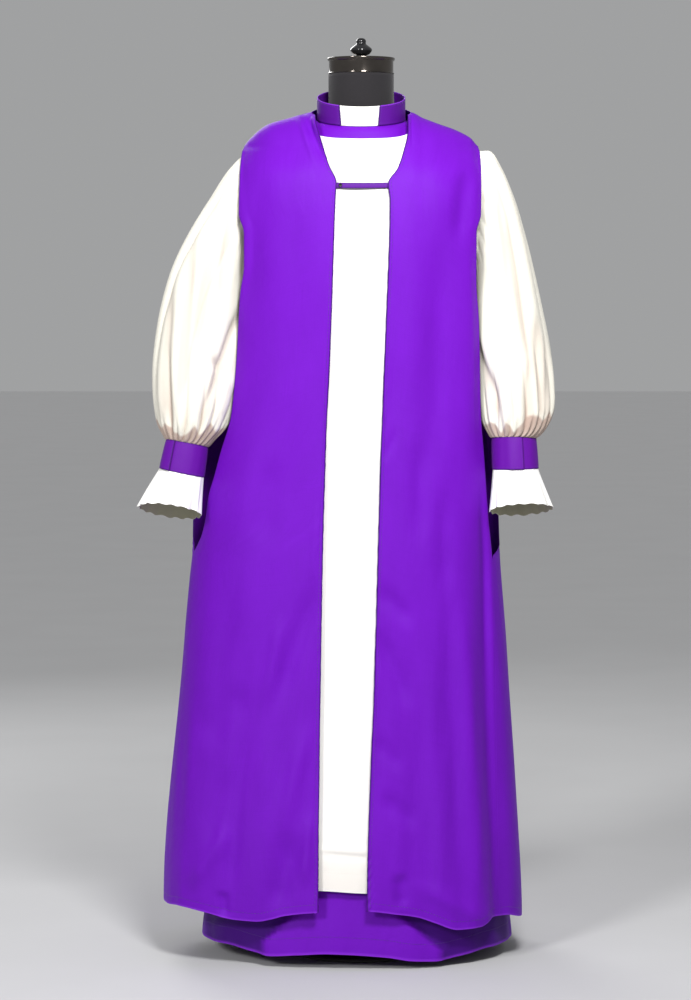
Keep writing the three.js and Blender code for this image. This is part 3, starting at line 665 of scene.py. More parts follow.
def drape(grid, seed, amount, wavelength=60):
    """Faint long waves down a hanging panel that differ from place to place."""
    random = np.random.RandomState(seed)
    across, down = run_across(grid), run_down(grid)
    plumb = np.median(grid[..., 0])  # waves are counted from the plumb line at this x
    for run, x in zip(across, grid[..., 0]):
        order = np.argsort(x)
        run -= np.interp(plumb, x[order], run[order])
    total = np.zeros(across.shape)
    for _ in range(7):
        wave = wavelength * random.uniform(0.6, 1.9)
        lean = random.uniform(-0.12, 0.12)
        swing = random.uniform(180, 420)
        phase, turn = random.uniform(0, 2 * math.pi, 2)
        size = smooth(0.5 + np.sin(down / swing + turn) * 0.8)
        total += size * np.sin((across + lean * down) * 2 * math.pi / wave + phase)
    return total * amount / 3


def puckers(along, seed, amount, spacing=16):
    """Small waves along an edge that was drawn up by its stitching."""
    random = np.random.RandomState(seed)
    total = np.zeros(along.shape)
    for factor in (0.7, 1, 1.45):
        phase = random.uniform(0, 6)
        size = 0.5 + 0.5 * np.sin(along / random.uniform(60, 130) + phase)
        total += size * np.sin(along * 2 * math.pi / (spacing * factor) + phase)
    return total * amount / 2


# --- Chimere ------------------------------------------------------------------------------
EDGE_ANGLE = 0.06  # half the gap at a seam, as an angle
FRONT_EDGE_LEFT = curve((105, -76), (580, -71), (879, -64), (1125, -53.5), (1370, -45), (1382, -44),
                        (1414, -57), (1446, -67.5), (1472, -75), (1490, -80), (1512, -82.5))
FRONT_EDGE_RIGHT = curve((105, 10), (545, 24), (914, 34.5), (1125, 43), (1352, 50), (1382, 47),
                         (1409, 64), (1441, 75), (1475, 82.5), (1512, 83))
SLIT_LEFT = curve((94, 356), (650, 311), (717, 303), (755, 286), (788, 278), (827, 273), (861, 263),
                  (909, 250), (970, 232), (1070, 222), (1190, 215), (1235, 208), (1296, 208),
                  (1329, 217), (1400, 216), (1440, 213), (1451, 209.5))
SLIT_RIGHT = curve((64, 252), (400, 243), (717, 234), (790, 227), (840, 223), (909, 218), (970, 213),
                   (1140, 209), (1210, 204), (1297, 204), (1329, 212), (1400, 213), (1440, 212),
                   (1451, 209.5))
SLIT_BACK = curve((717, 0), (745, 1), (870, 1.05), (980, 1.6), (1100, 2))


def slit_left(z):
    return angle_of(CHIMERE, -SLIT_LEFT(z), z)


def slit_right(z):
    return angle_of(CHIMERE, SLIT_RIGHT(z), z)


def back_edge(outer, z):
    front, share = np.abs(outer(z)), SLIT_BACK(z)
    return np.where(share < 1, mix(front, 90, share), mix(90, 180 - front, share - 1))


LEFT_CREASES = [
    (-90, 651, -143, 483, 17, -3.4), (-123, 226, -149, 118, 20, -4.5), (-157, 880, -172, 760, 26, -2.2),
    (-214, 483, -276, 403, 24, -2.6), (-241, 330, -267, 226, 16, -2.2), (-143, 600, -168, 480, 13, 2.6),
    (-99, 410, -142, 250, 15, 3.0), (-91, 265, -101, 165, 11, 2.6), (-241, 235, -296, 150, 14, 3.2),
    (-246, 130, -243, 95, 9, -3.0), (-99, 1500, -70, 1432, 5, -1.8), (-108, 1496, -84, 1420, 5, 1.5),
    (-88, 1500, -62, 1445, 4, 1.1), (-185, 1390, -200, 1180, 22, -2.0), (-120, 1330, -128, 1060, 30, -1.5),
    (-190, 930, -225, 640, 28, 2.4), (-205, 760, -255, 520, 20, -1.8), (-165, 400, -182, 130, 22, 2.4),
    (-212, 380, -236, 130, 15, -2.4), (-80, 800, -86, 690, 7, 0.8),
]
RIGHT_CREASES = [
    (36, 665, 82, 618, 13, -2.8), (36, 580, 76, 478, 15, -3.2), (28, 402, 64, 362, 11, -2.4),
    (42, 302, 90, 264, 13, -3.0), (68, 165, 71, 118, 13, -3.4), (141, 1260, 128, 920, 24, -2.4),
    (103, 910, 103, 770, 17, -2.2), (147, 825, 147, 680, 17, -2.2), (214, 700, 246, 100, 14, -2.2),
    (236, 690, 268, 100, 10, 2.2), (150, 640, 176, 120, 16, -2.0), (118, 540, 140, 120, 16, 2.0),
    (180, 620, 212, 120, 15, 2.2), (100, 150, 218, 84, 16, 2.2), (188, 1400, 172, 1290, 16, -2.4),
    (196, 1240, 190, 900, 18, 1.8), (82, 1340, 78, 1040, 26, 1.6), (220, 820, 232, 520, 9, -3.2),
    (60, 940, 42, 905, 6, -1.2), (58, 1250, 60, 980, 20, -1.4),
]
BACK_CREASES = [
    (-60, 1400, -70, 1050, 20, -2.5), (58, 1380, 72, 1080, 20, -2.6), (0, 1290, 4, 900, 24, 2.2),
    (-150, 1330, -176, 980, 22, 2.4), (152, 1330, 170, 960, 22, 2.4), (-110, 900, -140, 520, 18, -3.0),
    (96, 860, 118, 480, 18, -3.0), (-215, 760, -262, 380, 18, -3.2), (196, 740, 226, 330, 18, -3.2),
    (-20, 620, -34, 200, 16, -2.8), (44, 560, 60, 180, 14, 2.4), (-250, 330, -268, 110, 14, 3.0),
    (140, 330, 150, 110, 14, -3.0), (-150, 260, -160, 100, 14, 2.6),
]

HEM_DEPTH = 14  # of the chimere's turned-up hem
EDGE_DEPTH = 5.5  # of the topstitching in from the front edges
EDGE_PUCKER, PUCKER_SPACING = 1.7, 13  # height and spacing of the front edges' puckers
SEAM_FADE = 22  # over which a panel's relief dies away towards a seam, so that its edges meet
CORNER_CURL, CORNER_REACH = 3.0, 34  # how far the front hem's corners turn out, and from where


def finish_panel(grid, folds, seed, edges, hem_depth, thickness, waves=0.8):
    """A hanging panel with its small relief: drape, edges and a stitched hem. edges are the names
    of its hemmed sides. Gives the grid, its thickness and its fields."""
    far = distances(grid)
    amount = folds + drape(grid, seed, waves) * smooth(far.top / 90)
    sides = {name: getattr(far, name) for name in edges}
    for number, (name, gap) in enumerate(sides.items()):
        drawn = bell(gap / 11) * smooth((far.top - 150) / 250)
        amount = amount + puckers(far.top, seed + number + 1, EDGE_PUCKER, PUCKER_SPACING) * drawn
        amount = amount - 0.28 * bell((gap - EDGE_DEPTH) / 1.3)
    for name in {"left", "right"} - set(edges):
        amount = amount * smooth(getattr(far, name) / SEAM_FADE)
    amount = amount + puckers(far.left, seed + 9, 0.35, 20) * bell(far.hem / (hem_depth * 1.2))
    amount = amount - 0.3 * bell((far.hem - hem_depth) / 1.6)
    thick = thickness + 0.5 * smooth((hem_depth + 1 - far.hem) / 3)
    # The hemmed sides are darkened: partly a dark piping, partly painted shade where the edge turns from the light.
    # Along the hem's lower edge the cloth is painted lighter: a painted highlight.
    edge = np.zeros(far.hem.shape)
    for gap in sides.values():
        thick = thick + 0.4 * smooth((EDGE_DEPTH + 1 - gap) / 2)
        edge = np.maximum(edge, smooth((2.4 - gap) / 1.6) * 0.85)
    rim = smooth((2.6 - far.hem) / 1.8) * 0.7
    return pushed(grid, amount), thick, far, {"edge": edge, "rim": rim}


FRONT_ROWS = shares(172, (0.3, 0.13), (0.84, 0.93))
FRONT_COLUMNS = shares(96, (0.16, 0.06), (0.84, 0.94))
BACK_SHARES = shares(170, (0.08, 0.03), (0.92, 0.97))


def sew(node, lines, look, slot, **stitch):
    """Stitches along lines on a CAD node's cloth."""
    SEWN[node] = make_stitches(f"{node}_stitching", lines, look, slot, **stitch)


def make_chimere():
    raw = {
        "chimere_front_left": panel(
            CHIMERE, lambda z: slit_left(z) + EDGE_ANGLE,
            lambda z: angle_of(CHIMERE, FRONT_EDGE_LEFT(z), z), FRONT_COLUMNS, FRONT_ROWS, CHIMERE_FOLDS),
        "chimere_front_right": panel(
            CHIMERE, lambda z: angle_of(CHIMERE, FRONT_EDGE_RIGHT(z), z),
            lambda z: slit_right(z) - EDGE_ANGLE, FRONT_COLUMNS, FRONT_ROWS, CHIMERE_FOLDS),
        "chimere_back": panel(
            CHIMERE, lambda z: back_edge(slit_right, z) + EDGE_ANGLE,
            lambda z: 360 - back_edge(slit_left, z) - EDGE_ANGLE, BACK_SHARES, FRONT_ROWS, CHIMERE_FOLDS),
    }
    creases = [LEFT_CREASES, RIGHT_CREASES, BACK_CREASES]
    for (name, grid), marks, seed in zip(raw.items(), creases, (11, 23, 37)):
        hemmed = {"chimere_front_left": ["right"], "chimere_front_right": ["left"]}.get(name, [])
        far = distances(grid)
        folds = creased(grid, marks)
        for side in hemmed:
            corner = bell(getattr(far, side) / CORNER_REACH) * bell(far.hem / CORNER_REACH)
            folds = folds + CORNER_CURL * corner
        grid, thick, far, fields = finish_panel(grid, folds, seed, hemmed, HEM_DEPTH, 0.9)
        # The slit's sides are darkened half as much: partly a dark piping, partly painted shade.
        slit = smooth((grid[..., 2] - 717) / 20)
        for side in {"left", "right"} - set(hemmed):
            slit_edge = 0.5 * slit * smooth((2.2 - getattr(far, side)) / 1.6)
            fields["edge"] = np.maximum(fields["edge"], slit_edge)
        make_cloth(name, grid, thick, VIOLET, "violet_cloth", shade=0.0, **fields)
        lines = [line_at(grid, far.hem, HEM_DEPTH, "hem")]
        lines += [line_at(grid, getattr(far, side), EDGE_DEPTH, side) for side in hemmed]
        sew(name, lines, VIOLET_THREAD, "violet_cloth")


make_chimere()


# --- Rochet and cassock bodies ---------------------------------------------------------------
ARMHOLE = SimpleNamespace(z=1338, half_height=110, half_depth=56)


def armhole_depth(z):
    return ARMHOLE.half_depth * np.sqrt(np.clip(1 - ((z - ARMHOLE.z) / ARMHOLE.half_height) ** 2, 0, 1))


def side_angle(cut, z, behind):
    depth = (cut.back if behind else cut.front)(z)
    from_side = np.degrees(np.arcsin((armhole_depth(z) / depth) ** (SQUARENESS / 2)))
    return 90 + from_side if behind else 90 - from_side


BODY_ROWS = shares(120, (0.35, 0.16), (0.84, 0.93))
BODY_COLUMNS = shares(84)
ROCHET_CREASES = [
    (-60, 204, 20, 199, 4.5, -1.3), (-66, 214, 10, 209, 5, 1.2), (-30, 300, 4, 290, 9, 0.8),
    (-20, 1430, -8, 1250, 22, -1.2), (20, 1200, 16, 900, 20, 0.9), (-40, 700, -46, 420, 16, -1.0),
    (-8, 560, -16, 260, 14, 1.0),
]
# The lines, as (height, x), beside which the cassock's front turns back at its foot.
HEM_BREAKS = [(45, -168), (130, -76)], [(30, 136), (130, 18)]
BREAK_DEPTH, BREAK_SHADE, BREAK_TOP, BREAK_SOFT = 8, 0.95, 150, 17


def beside_breaks(grid):
    """How fully each point lies outside the breaks in the cassock's foot, fading to its seams."""
    x, z = grid[..., 0], grid[..., 2]
    left, right = (np.interp(z, *np.array(line).T) for line in HEM_BREAKS)
    beside = np.maximum(smooth((left - x) / BREAK_SOFT), smooth((x - right) / BREAK_SOFT))
    seams = distances(grid)
    return beside * smooth((BREAK_TOP - z) / 30) * smooth(np.minimum(seams.left, seams.right) / 70)


def make_bodies():
    """Both bodies, front and back. The numbers are hem depth, thickness and size of the waves."""
    settings = (
        ("rochet", ROCHET, WHITE, "white_cloth", WHITE_THREAD, 34, 0.7, ROCHET_CREASES, 0.6),
        ("cassock", CASSOCK, VIOLET, "violet_cloth", VIOLET_THREAD, 30, 0.9, [], 1.2),
    )
    for name, cut, look, slot, thread, hem, thickness, creases, waves in settings:
        for part, behind in (("front", False), ("back", True)):
            if behind:
                edges = (
                    lambda z: side_angle(cut, z, True) + EDGE_ANGLE,
                    lambda z: 360 - side_angle(cut, z, True) - EDGE_ANGLE,
                )
            else:
                edges = (
                    lambda z: EDGE_ANGLE - side_angle(cut, z, False),
                    lambda z: side_angle(cut, z, False) - EDGE_ANGLE,
                )
            grid = panel(cut, *edges, BODY_COLUMNS, BODY_ROWS)
            folds, shade = (0.0 if behind else creased(grid, creases)), 0.0
            if name == "cassock" and not behind:
                # Beside the breaks the foot is also painted darker: painted shadow under the chimere's hem.
                beside = beside_breaks(grid)
                folds, shade = folds - BREAK_DEPTH * beside, BREAK_SHADE * beside
            elif not behind:
                # The rochet's front is painted warmer and darker towards its hem: painted shade.
                shade = 0.3 * smooth((250 - grid[..., 2]) / 90)
            seed = 51 + hem + behind
            grid, thick, far, fields = finish_panel(grid, folds, seed, [], hem, thickness, waves)
            make_cloth(f"{name}_{part}", grid, thick, look, slot, shade=shade, **fields)
            sew(f"{name}_{part}", [line_at(grid, far.hem, hem, "hem")], thread, slot)


make_bodies()

# --- Sleeves ------------------------------------------------------------------------------
# Rings down a sleeve: the outer and inner point seen from the front, half the depth, and how far
# forward the middle is.
LEFT_SLEEVE = [
    (-214, 1433, -205, 1236, 55, 0), (-236, 1411, -206, 1222, 60, -2), (-272, 1358, -206, 1200, 67, -4),
    (-304, 1306, -206, 1172, 73, -7), (-335, 1243, -208, 1142, 76, -11), (-357, 1168, -211, 1100, 79, -17),
    (-368, 1098, -216, 1058, 80, -25), (-371, 1036, -221, 1016, 79, -32), (-368, 986, -230, 979, 74, -39),
    (-360, 953, -245, 947, 60, -47), (-352, 936, -264, 926, 44, -54),
]
RIGHT_SLEEVE = [
    (217, 1443, 205, 1236, 55, 0), (230, 1443, 206, 1226, 60, -2), (250, 1416, 206, 1212, 66, -4),
    (272, 1366, 206, 1190, 71, -7), (291, 1301, 206, 1158, 75, -11), (307, 1235, 206, 1118, 78, -17),
    (322, 1164, 207, 1076, 79, -24), (336, 1092, 210, 1034, 78, -31), (343, 1028, 213, 992, 74, -38),
    (341, 976, 219, 958, 61, -46), (326, 945, 228, 938, 45, -53),
]
# Rings of the wristbands and frills have one more number: how far the front stands above the
# middle, as a share of the depth.
WRISTBANDS = {
    "left": [(-348.5, 927.8, -273.2, 914.2, 37, -57, 0.1), (-360, 879, -279.5, 862, 39, -64, 0.02)],
    "right": [(312.6, 930.1, 232.6, 931, 37, -57, 0.1), (316.5, 878, 233.5, 876, 39, -64, 0.02)],
}
FRILLS = {
    "left": [(-381, 843, -282, 828, 44, -73, 0.16), (-398, 810.5, -284, 795, 50, -84, 0.31)],
    "right": [(329, 843, 230.5, 840, 44, -79, 0.15), (341, 808.5, 226.5, 803.5, 48, -97, 0.29)],
}
SLEEVE_COLUMNS = 208
SLEEVE_ROWS = 104
SLEEVE_EASE = 4


def moved_up(ring, up):
    outer_x, outer_z, inner_x, inner_z, *rest = ring
    return (outer_x, outer_z + up, inner_x, inner_z + up, *rest)


def ring_points(ring, turn, swell=0.0):
    """Points round a ring. The turn starts at the outer end and runs anticlockwise from above.
    The ring's numbers may be single or one for each row of turns."""
    outer_x, outer_z, inner_x, inner_z, depth, y, *rise = ring
    rise = rise[0] if rise else 0.0
    half = np.hypot(outer_x - inner_x, outer_z - inner_z) / 2
    across = np.cos(turn) * (half + swell) / half / 2
    behind = np.sign(outer_x) * np.sin(turn) * (depth + swell)
    return np.stack([
        (outer_x + inner_x) / 2 + (outer_x - inner_x) * across,
        y + behind,
        (outer_z + inner_z) / 2 + (outer_z - inner_z) * across - behind * rise,
    ], -1)


def armhole_points(side, turn):
    z = ARMHOLE.z + (ARMHOLE.half_height - SLEEVE_EASE) * np.cos(turn)
    y = side * (ARMHOLE.half_depth - SLEEVE_EASE) * np.sin(turn)
    depth = np.where(y < 0, ROCHET.front(z), ROCHET.back(z))
    reach = ROCHET.left(z) if side < 0 else ROCHET.right(z)
    x = reach * (1 - np.clip(np.abs(y) / depth, 0, 1) ** SQUARENESS) ** (1 / SQUARENESS)
    return np.stack([side * x, y, z], -1)


def through(keys, at, where):
    """Smooth values through keys [key, ...] placed at numbers, read at other numbers."""
    width = np.diff(at)
    shape = (-1,) + (1,) * (keys.ndim - 1)
    rise = np.diff(keys, axis=0) / width.reshape(shape)
    weight = (width[:-1] / (width[:-1] + width[1:])).reshape(shape)
    middle = mix(rise[:-1], rise[1:], weight)
    slope = np.concatenate([rise[:1], middle, rise[-1:]])
    i = np.clip(np.searchsorted(at, where, side="right") - 1, 0, len(at) - 2)
    t = ((where - at[i]) / width[i]).reshape(shape)
    return cubic(t, width[i].reshape(shape), keys[i], keys[i + 1], slope[i], slope[i + 1])


def gathers(turn, count, seed, sharpness=0.75):
    """Puffs between sharp tucks round a gathered ring, uneven in width: from -0.6 to 0.4."""
    random = np.random.RandomState(seed)
    phase = count * turn
    for waves in (2, 3, 5, 8):
        phase = phase + random.uniform(0.25, 0.6) * np.sin(waves * turn + random.uniform(0, 6.28))
    return np.abs(np.sin(phase / 2)) ** sharpness - 0.6


SLEEVE_CREASES = {
    "left": [(-214, 1165, -276, 978, 7, -4.5), (-206, 1190, -240, 1000, 12, 3.5), (-262, 1075, -238, 1040, 8, -2.5),
             (-300, 1260, -322, 1010, 9, -2.6), (-338, 1180, -350, 985, 7, -2.4), (-258, 1330, -292, 1100, 12, -2.2),
             (-230, 1350, -250, 1180, 9, -2.0), (-345, 1080, -338, 960, 5, -2.0)],
    "right": [(205, 1110, 240, 985, 7, -4.0), (212, 1200, 222, 1040, 10, 2.8), (262, 1330, 300, 1080, 12, -2.4),
              (312, 1130, 322, 980, 7, -3.0), (300, 1060, 296, 960, 8, -2.6), (244, 1380, 262, 1180, 10, -2.0),
              (330, 1100, 330, 980, 5, -2.2)],
}


def make_sleeve(side_name, side, rings, band, seed):
    turn = np.arange(SLEEVE_COLUMNS) * 2 * math.pi / SLEEVE_COLUMNS
    cuff = moved_up(band[0], 0.6)
    keys = [armhole_points(side, turn)]
    keys += [ring_points(ring, turn) for ring in (*rings, cuff)]
    keys = np.array(keys)
    gaps = np.linalg.norm(np.diff(keys, axis=0), axis=-1).mean(1)
    at = np.concatenate([[0], np.cumsum(gaps)])
    where = shares(SLEEVE_ROWS, (0.16, 0.06), (0.6, 0.74)) * at[-1]
    grid = through(keys, at, where)
    above = (at[-1] - where)[:, None]
    below = where[:, None]
    free = 0.3 + 0.7 * smooth((np.cos(turn) + 0.9) / 1.3)
    wrist = smooth(above / 9 + 0.3) * (1 - smooth((above - 22) / 55))
    forearm = smooth((above - 8) / 45) * (1 - smooth((above - 60) / 130))
    middle = smooth((above - 40) / 120) * smooth(below / 150)
    head = smooth(below / 12) * (1 - smooth((below - 15) / 70))
    amount = (
        5.0 * wrist * gathers(turn, 27, seed)
        + 8.0 * forearm * gathers(turn, 14, seed + 1)
        + 6.5 * middle * gathers(turn + 0.0012 * below, 7, seed + 2, 0.9) * free
        + 1.5 * head * gathers(turn, 22, seed + 3)
    )
    # Painted shade: a warm band above the wristband up to a zigzag line (shadow_top), the tucks of the gathers, the
    # troughs between the long gathers (lines) and the crease troughs that face forward are painted towards the
    # sleeve's shade colour.
    tuck = wrist * gathers(turn, 27, seed) + forearm * gathers(turn, 14, seed + 1)
    facing = smooth(-normals(grid, True)[..., 1] * 2)
    zigzag = 2 / math.pi * np.arcsin(0.97 * np.sin(9 * turn + 1.4 * np.sin(4 * turn + seed)))
    shadow_top = 38 + 13 * zigzag + 8 * np.cos(2 * turn + 0.6)
    lines = np.clip(-gathers(turn + 0.0012 * below, 7, seed + 2, 0.9) - 0.42, 0, 1) * middle
    shade = 0.8 * smooth((shadow_top - above) / 7 + 0.5) + 0.9 * np.clip(-tuck - 0.1, 0, 1) + 1.2 * lines
    shade = shade + np.clip(-creased(grid, SLEEVE_CREASES[side_name]) / 9, 0, 0.35) * facing
    amount = amount + creased(grid, SLEEVE_CREASES[side_name]) * facing
    grid = pushed(grid, amount, True)
    make_cloth(f"rochet_sleeve_{side_name}", grid, 0.7, SLEEVE_WHITE, "white_cloth", closed=True,
               shade=np.clip(shade, 0, 0.92), edge=0.0, rim=0.0)


FINE_STITCH = {"length": 2.2, "pitch": 3.2, "radius": 0.26}
LAP_FROM, LAP_TO, LAP_OUT = 330, 382, 2.6
LAP_START = {"left": 38, "right": 266}


def ring_between(rings, share):
    """A ring part of the way down a list of rings, one for each share."""
    rings = np.array(rings, float)
    at = np.linspace(0, 1, len(rings))
    return [curve(*zip(at, rings[:, k]))(share)[:, None] for k in range(rings.shape[1])]


def make_wristband(side_name, rings):
    columns, rows = 150, 20
    down = np.linspace(0, 1, rows)
    turned_by = np.linspace(0, LAP_TO, columns)
    turn = np.radians(LAP_START[side_name] + turned_by)[None]
    swell = LAP_OUT * smooth((turned_by - LAP_FROM) / 24)[None]
    swell = swell + 0.5 * np.sin(math.pi * down)[:, None]
    grid = ring_points(ring_between(rings, down), turn, swell)
    far = distances(grid)
    grid = pushed(grid, -0.2 * bell((far.top - 3) / 0.9) - 0.2 * bell((far.hem - 3) / 0.9))
    grid = pushed(grid, puckers(far.left, 71, 0.15, 24) * smooth(far.top / 10))
    # The band's overlapping end and its top and bottom edges are darkened: partly a dark edge, partly painted shade.
    end = smooth((1.6 - far.right) / 1.2) * 0.8
    rims = np.maximum(smooth((1.4 - far.top) / 1.0), smooth((1.4 - far.hem) / 1.0)) * 0.5
    make_cloth(f"wristband_{side_name}", grid, 1.6, VIOLET_BAND, "violet_band",
               edge=np.maximum(end, rims), rim=0.0, shade=0.0)
    lines = [line_at(grid, far.hem, 3, "hem"), line_at(grid, far.right, 3, "right"),
             line_at(grid[::-1], far.top[::-1], 3, "hem")]
    sew(f"wristband_{side_name}", lines, VIOLET_THREAD, "violet_band", **FINE_STITCH)


FRILL_PLEATS = 15


def make_frill(side_name, rings, band, seed):
    columns, rows = FRILL_PLEATS * 20, 30
    down = shares(rows, (0.8, 0.86))
    turn = (np.arange(columns) * 2 * math.pi / columns)[None]
    random = np.random.RandomState(seed)
    phase = FRILL_PLEATS * turn + 0.35 * np.sin(3 * turn + random.uniform(0, 6)) + 0.25 * np.sin(7 * turn)
    wave = 2 / math.pi * np.arcsin(0.96 * np.sin(phase))
    behind = smooth(math.copysign(1, rings[0][0]) * 2 * np.sin(turn) + 0.5)
    depth = mix(0.3, 3.2, down[:, None] ** 1.6) * (1 + 0.2 * np.sin(5 * turn + 1)) * mix(1, 0.35, behind)
    grid = ring_points(ring_between([moved_up(band[1], -0.6), *rings], down), turn, wave * depth - 1.2)
    grid[..., 2] += down[:, None] ** 6 * 1.2 * np.cos(phase + 0.5)
    # A painted highlight along the frill's outer edge, and painted shade in the tucks between its pleats.
    rim = smooth((down - 0.96) / 0.03)[:, None] * np.ones(columns)
    tucks = np.clip(-wave, 0, 1) * 0.12 * down[:, None]
    make_cloth(f"cuff_frill_{side_name}", grid, 0.6, FRILL_WHITE, "white_cloth", closed=True,
               shade=tucks, edge=0.0, rim=rim)


for side_name, side, rings, seed in (("left", -1, LEFT_SLEEVE, 5), ("right", 1, RIGHT_SLEEVE, 8)):
    band = WRISTBANDS[side_name]
    make_sleeve(side_name, side, rings, band, seed)
    make_wristband(side_name, band)
    make_frill(side_name, FRILLS[side_name], band, seed)


# --- Collar, insert and strap -----------------------------------------------------------------
def collar_top(y):
    return 1539 + 0.26 * y


def collar_grid(inset, start, end, columns, rows, above, narrower=0):
    down = np.linspace(0, 1, rows)[:, None]
    share = np.linspace(0, 1, columns)
    angle = np.radians(COLLAR.turn + mix(start - narrower * down, end + narrower * down, share))
    x = (COLLAR.half_width - inset) * np.sin(angle)
    y = COLLAR.y - (COLLAR.half_depth - inset) * np.cos(angle)
    low, high = neck_height(y) + 1, collar_top(y) + above
    z = mix(high, low, down)
    return np.stack([x, y, z], -1)


def make_collar():
    grid = collar_grid(0, COLLAR.notch, 360 - COLLAR.notch, 200, 24, 0, COLLAR.narrower)
    far = distances(grid)
    ends = np.minimum(far.left, far.right)
    amount = puckers(far.left, 81, 0.25, 40) * smooth(far.top / 8)
    amount = amount - 0.25 * bell((far.top - 3) / 0.9) - 0.25 * bell((ends - 3) / 0.9)
    amount = amount + 0.5 * bell((far.hem - 1.5) / 1.6)
    grid = pushed(grid, amount)
    # Its ends and lower edge are darkened (partly a dark edge, partly painted shade), its top edge is painted
    # lighter (a painted highlight), and shade=0.45 paints the whole collar darker: painted shade.
    edge = np.maximum(smooth((1.5 - ends) / 1.2), smooth((2.2 - far.hem) / 1.6)) * 0.8
    rim = smooth((1.6 - far.top) / 1.2) * 0.6
    make_cloth("cassock_collar", grid, 1.8, VIOLET_BAND, "violet_band", edge=edge, rim=rim, shade=0.45)
    lines = [line_at(grid[::-1], far.top[::-1], 3, "hem"), line_at(grid, far.left, 3, "left"),
             line_at(grid, far.right, 3, "right")]
    sew("cassock_collar", lines, VIOLET_THREAD, "violet_band", **FINE_STITCH)
    insert = collar_grid(COLLAR.wall + 0.8, -47, 47, 70, 18, -0.8)
    make_cloth("collar_insert", insert, 1.1, WHITE, "white_cloth", edge=0.0, rim=0.0, shade=0.0)


make_collar()

STRAP = SimpleNamespace(z=1379, height=9, tuck=12, outside=4.4)


def make_strap():
    left = FRONT_EDGE_LEFT(STRAP.z) - STRAP.tuck
    right = FRONT_EDGE_RIGHT(STRAP.z) + STRAP.tuck
    x = np.linspace(left, right, 90)
    z = STRAP.z + np.linspace(0.5, -0.5, 14)[:, None] * STRAP.height
    x, z = np.broadcast_arrays(x, z)
    grid = surface(ROCHET, angle_of(ROCHET, x, z), z)
    grid[..., 1] -= STRAP.outside
    grid[..., 2] -= 0.9 * np.sin(math.pi * (x - left) / (right - left))
    far = distances(grid)
    crown = 0.5 * np.sin(math.pi * far.top / STRAP.height)
    rims = np.minimum(far.top, far.hem)
    grid = pushed(grid, crown - 0.15 * bell((rims - 1.6) / 0.5) + puckers(x, 91, 0.12, 9))
    # The strap's edges are darkened: partly a dark edge, partly painted shade.
    make_cloth("front_strap", grid, 1.3, VIOLET_BAND, "violet_band",
               edge=smooth((1.2 - rims) / 1.0) * 0.8, rim=0.0, shade=0.35)
    low, high = (np.array(corner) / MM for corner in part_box("strap_button"))
    centre, half = (low + high) / 2, (high - low) / 2
    profile = [(0, -1), (0.6, -0.98), (0.92, -0.55), (1, -0.1), (0.97, 0.35), (0.84, 0.62), (0.7, 0.6),
               (0.58, 0.42), (0.35, 0.36), (0, 0.36)]
    points, faces = turned([(max(r, 0.01), h) for r, h in profile], 40)
    points = np.stack([points[:, 0], -points[:, 2], points[:, 1]], -1)
    make_piece("strap_button_detail", centre + points * half, faces, GLOSS, "gloss_black",
               ["strap_button"])


make_strap()

# --- Dress form and stand -----------------------------------------------------------------
TORSO_SIDE = curve((745, 163), (900, 166), (1050, 150), (1150, 152), (1250, 162), (1330, 170), (1400, 168),
                   (1440, 145), (1462, 120), (1480, 88), (1494, 67), (1512, 61), (1540, 58.5), (1580, 58.5))
TORSO_FRONT = curve((745, 98), (900, 105), (1050, 98), (1150, 100), (1330, 107), (1400, 94), (1440, 79),
                    (1465, 67), (1490, 60), (1540, 58.5), (1580, 58.5))
TORSO_BACK = curve((745, 104), (900, 112), (1050, 97), (1150, 99), (1330, 106), (1400, 96), (1440, 76),
                   (1465, 66), (1490, 60), (1540, 58.5), (1580, 58.5))


def make_form():
    low, high = (np.array(corner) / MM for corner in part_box("form_torso"))
    around = 160
    z = np.concatenate([low[2] + 14 * (1 - np.cos(np.linspace(0, math.pi / 2, 8))),
                        np.linspace(low[2] + 16, high[2], 150)])
    inset = 13 * (1 - np.sqrt(np.clip((z - low[2]) / 14, 0, 1)))[:, None]
    angle = np.arange(around) * 2 * math.pi / around
    depth = np.where(np.cos(angle) > 0, TORSO_FRONT(z)[:, None], TORSO_BACK(z)[:, None])
    power = mix(2 / 2.3, 1, smooth((z - 1380) / 130))[:, None]
    ribs = 0.1 * np.sin(z[:, None] / 5.5 + 0.6 * np.sin(angle * 3)) * smooth((z[:, None] - 1500) / 30)
    seam = -0.7 * bell(((angle - math.pi) * 58) / 1.6)
    swell = ribs * 0.6 + seam - inset
    x = (TORSO_SIDE(z)[:, None] + swell) * signed_power(np.sin(angle), power)
    y = -(depth + swell) * signed_power(np.cos(angle), power)
    rings = np.stack([x, y, np.broadcast_to(z[:, None], x.shape)], -1)
    points, faces = solid_of_rings(rings)
    make_piece("form_torso_cover", points, faces, JERSEY, "form_black", ["form_torso"])


def rounded(profile, radius, steps=4):
    """A profile of (radius, height) pairs whose inner corners are rounded off."""
    made = [profile[0]]
    for before, corner, after in zip(profile, profile[1:], profile[2:]):
        before, corner, after = (np.array(p, float) for p in (before, corner, after))
        cut = min(radius, np.linalg.norm(before - corner) * 0.45, np.linalg.norm(after - corner) * 0.45)
        start, end = corner + unit(before - corner) * cut, corner + unit(after - corner) * cut
        for t in np.linspace(0, 1, steps + 1):
            made.append(tuple(mix(mix(start, corner, t), mix(corner, end, t), t)))
    return [*made, profile[-1]]


def fitted(node, profile, radius=0.8, segments=96):
    """A turned piece whose profile is in shares of a CAD node's radius and height."""
    low, high = (np.array(corner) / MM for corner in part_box(node))
    reach, height = high[0] - (low[0] + high[0]) / 2, high[2] - low[2]
    scaled = [(max(r * reach, 0.05), low[2] + h * height) for r, h in profile]
    return turned(rounded(scaled, radius), segments)


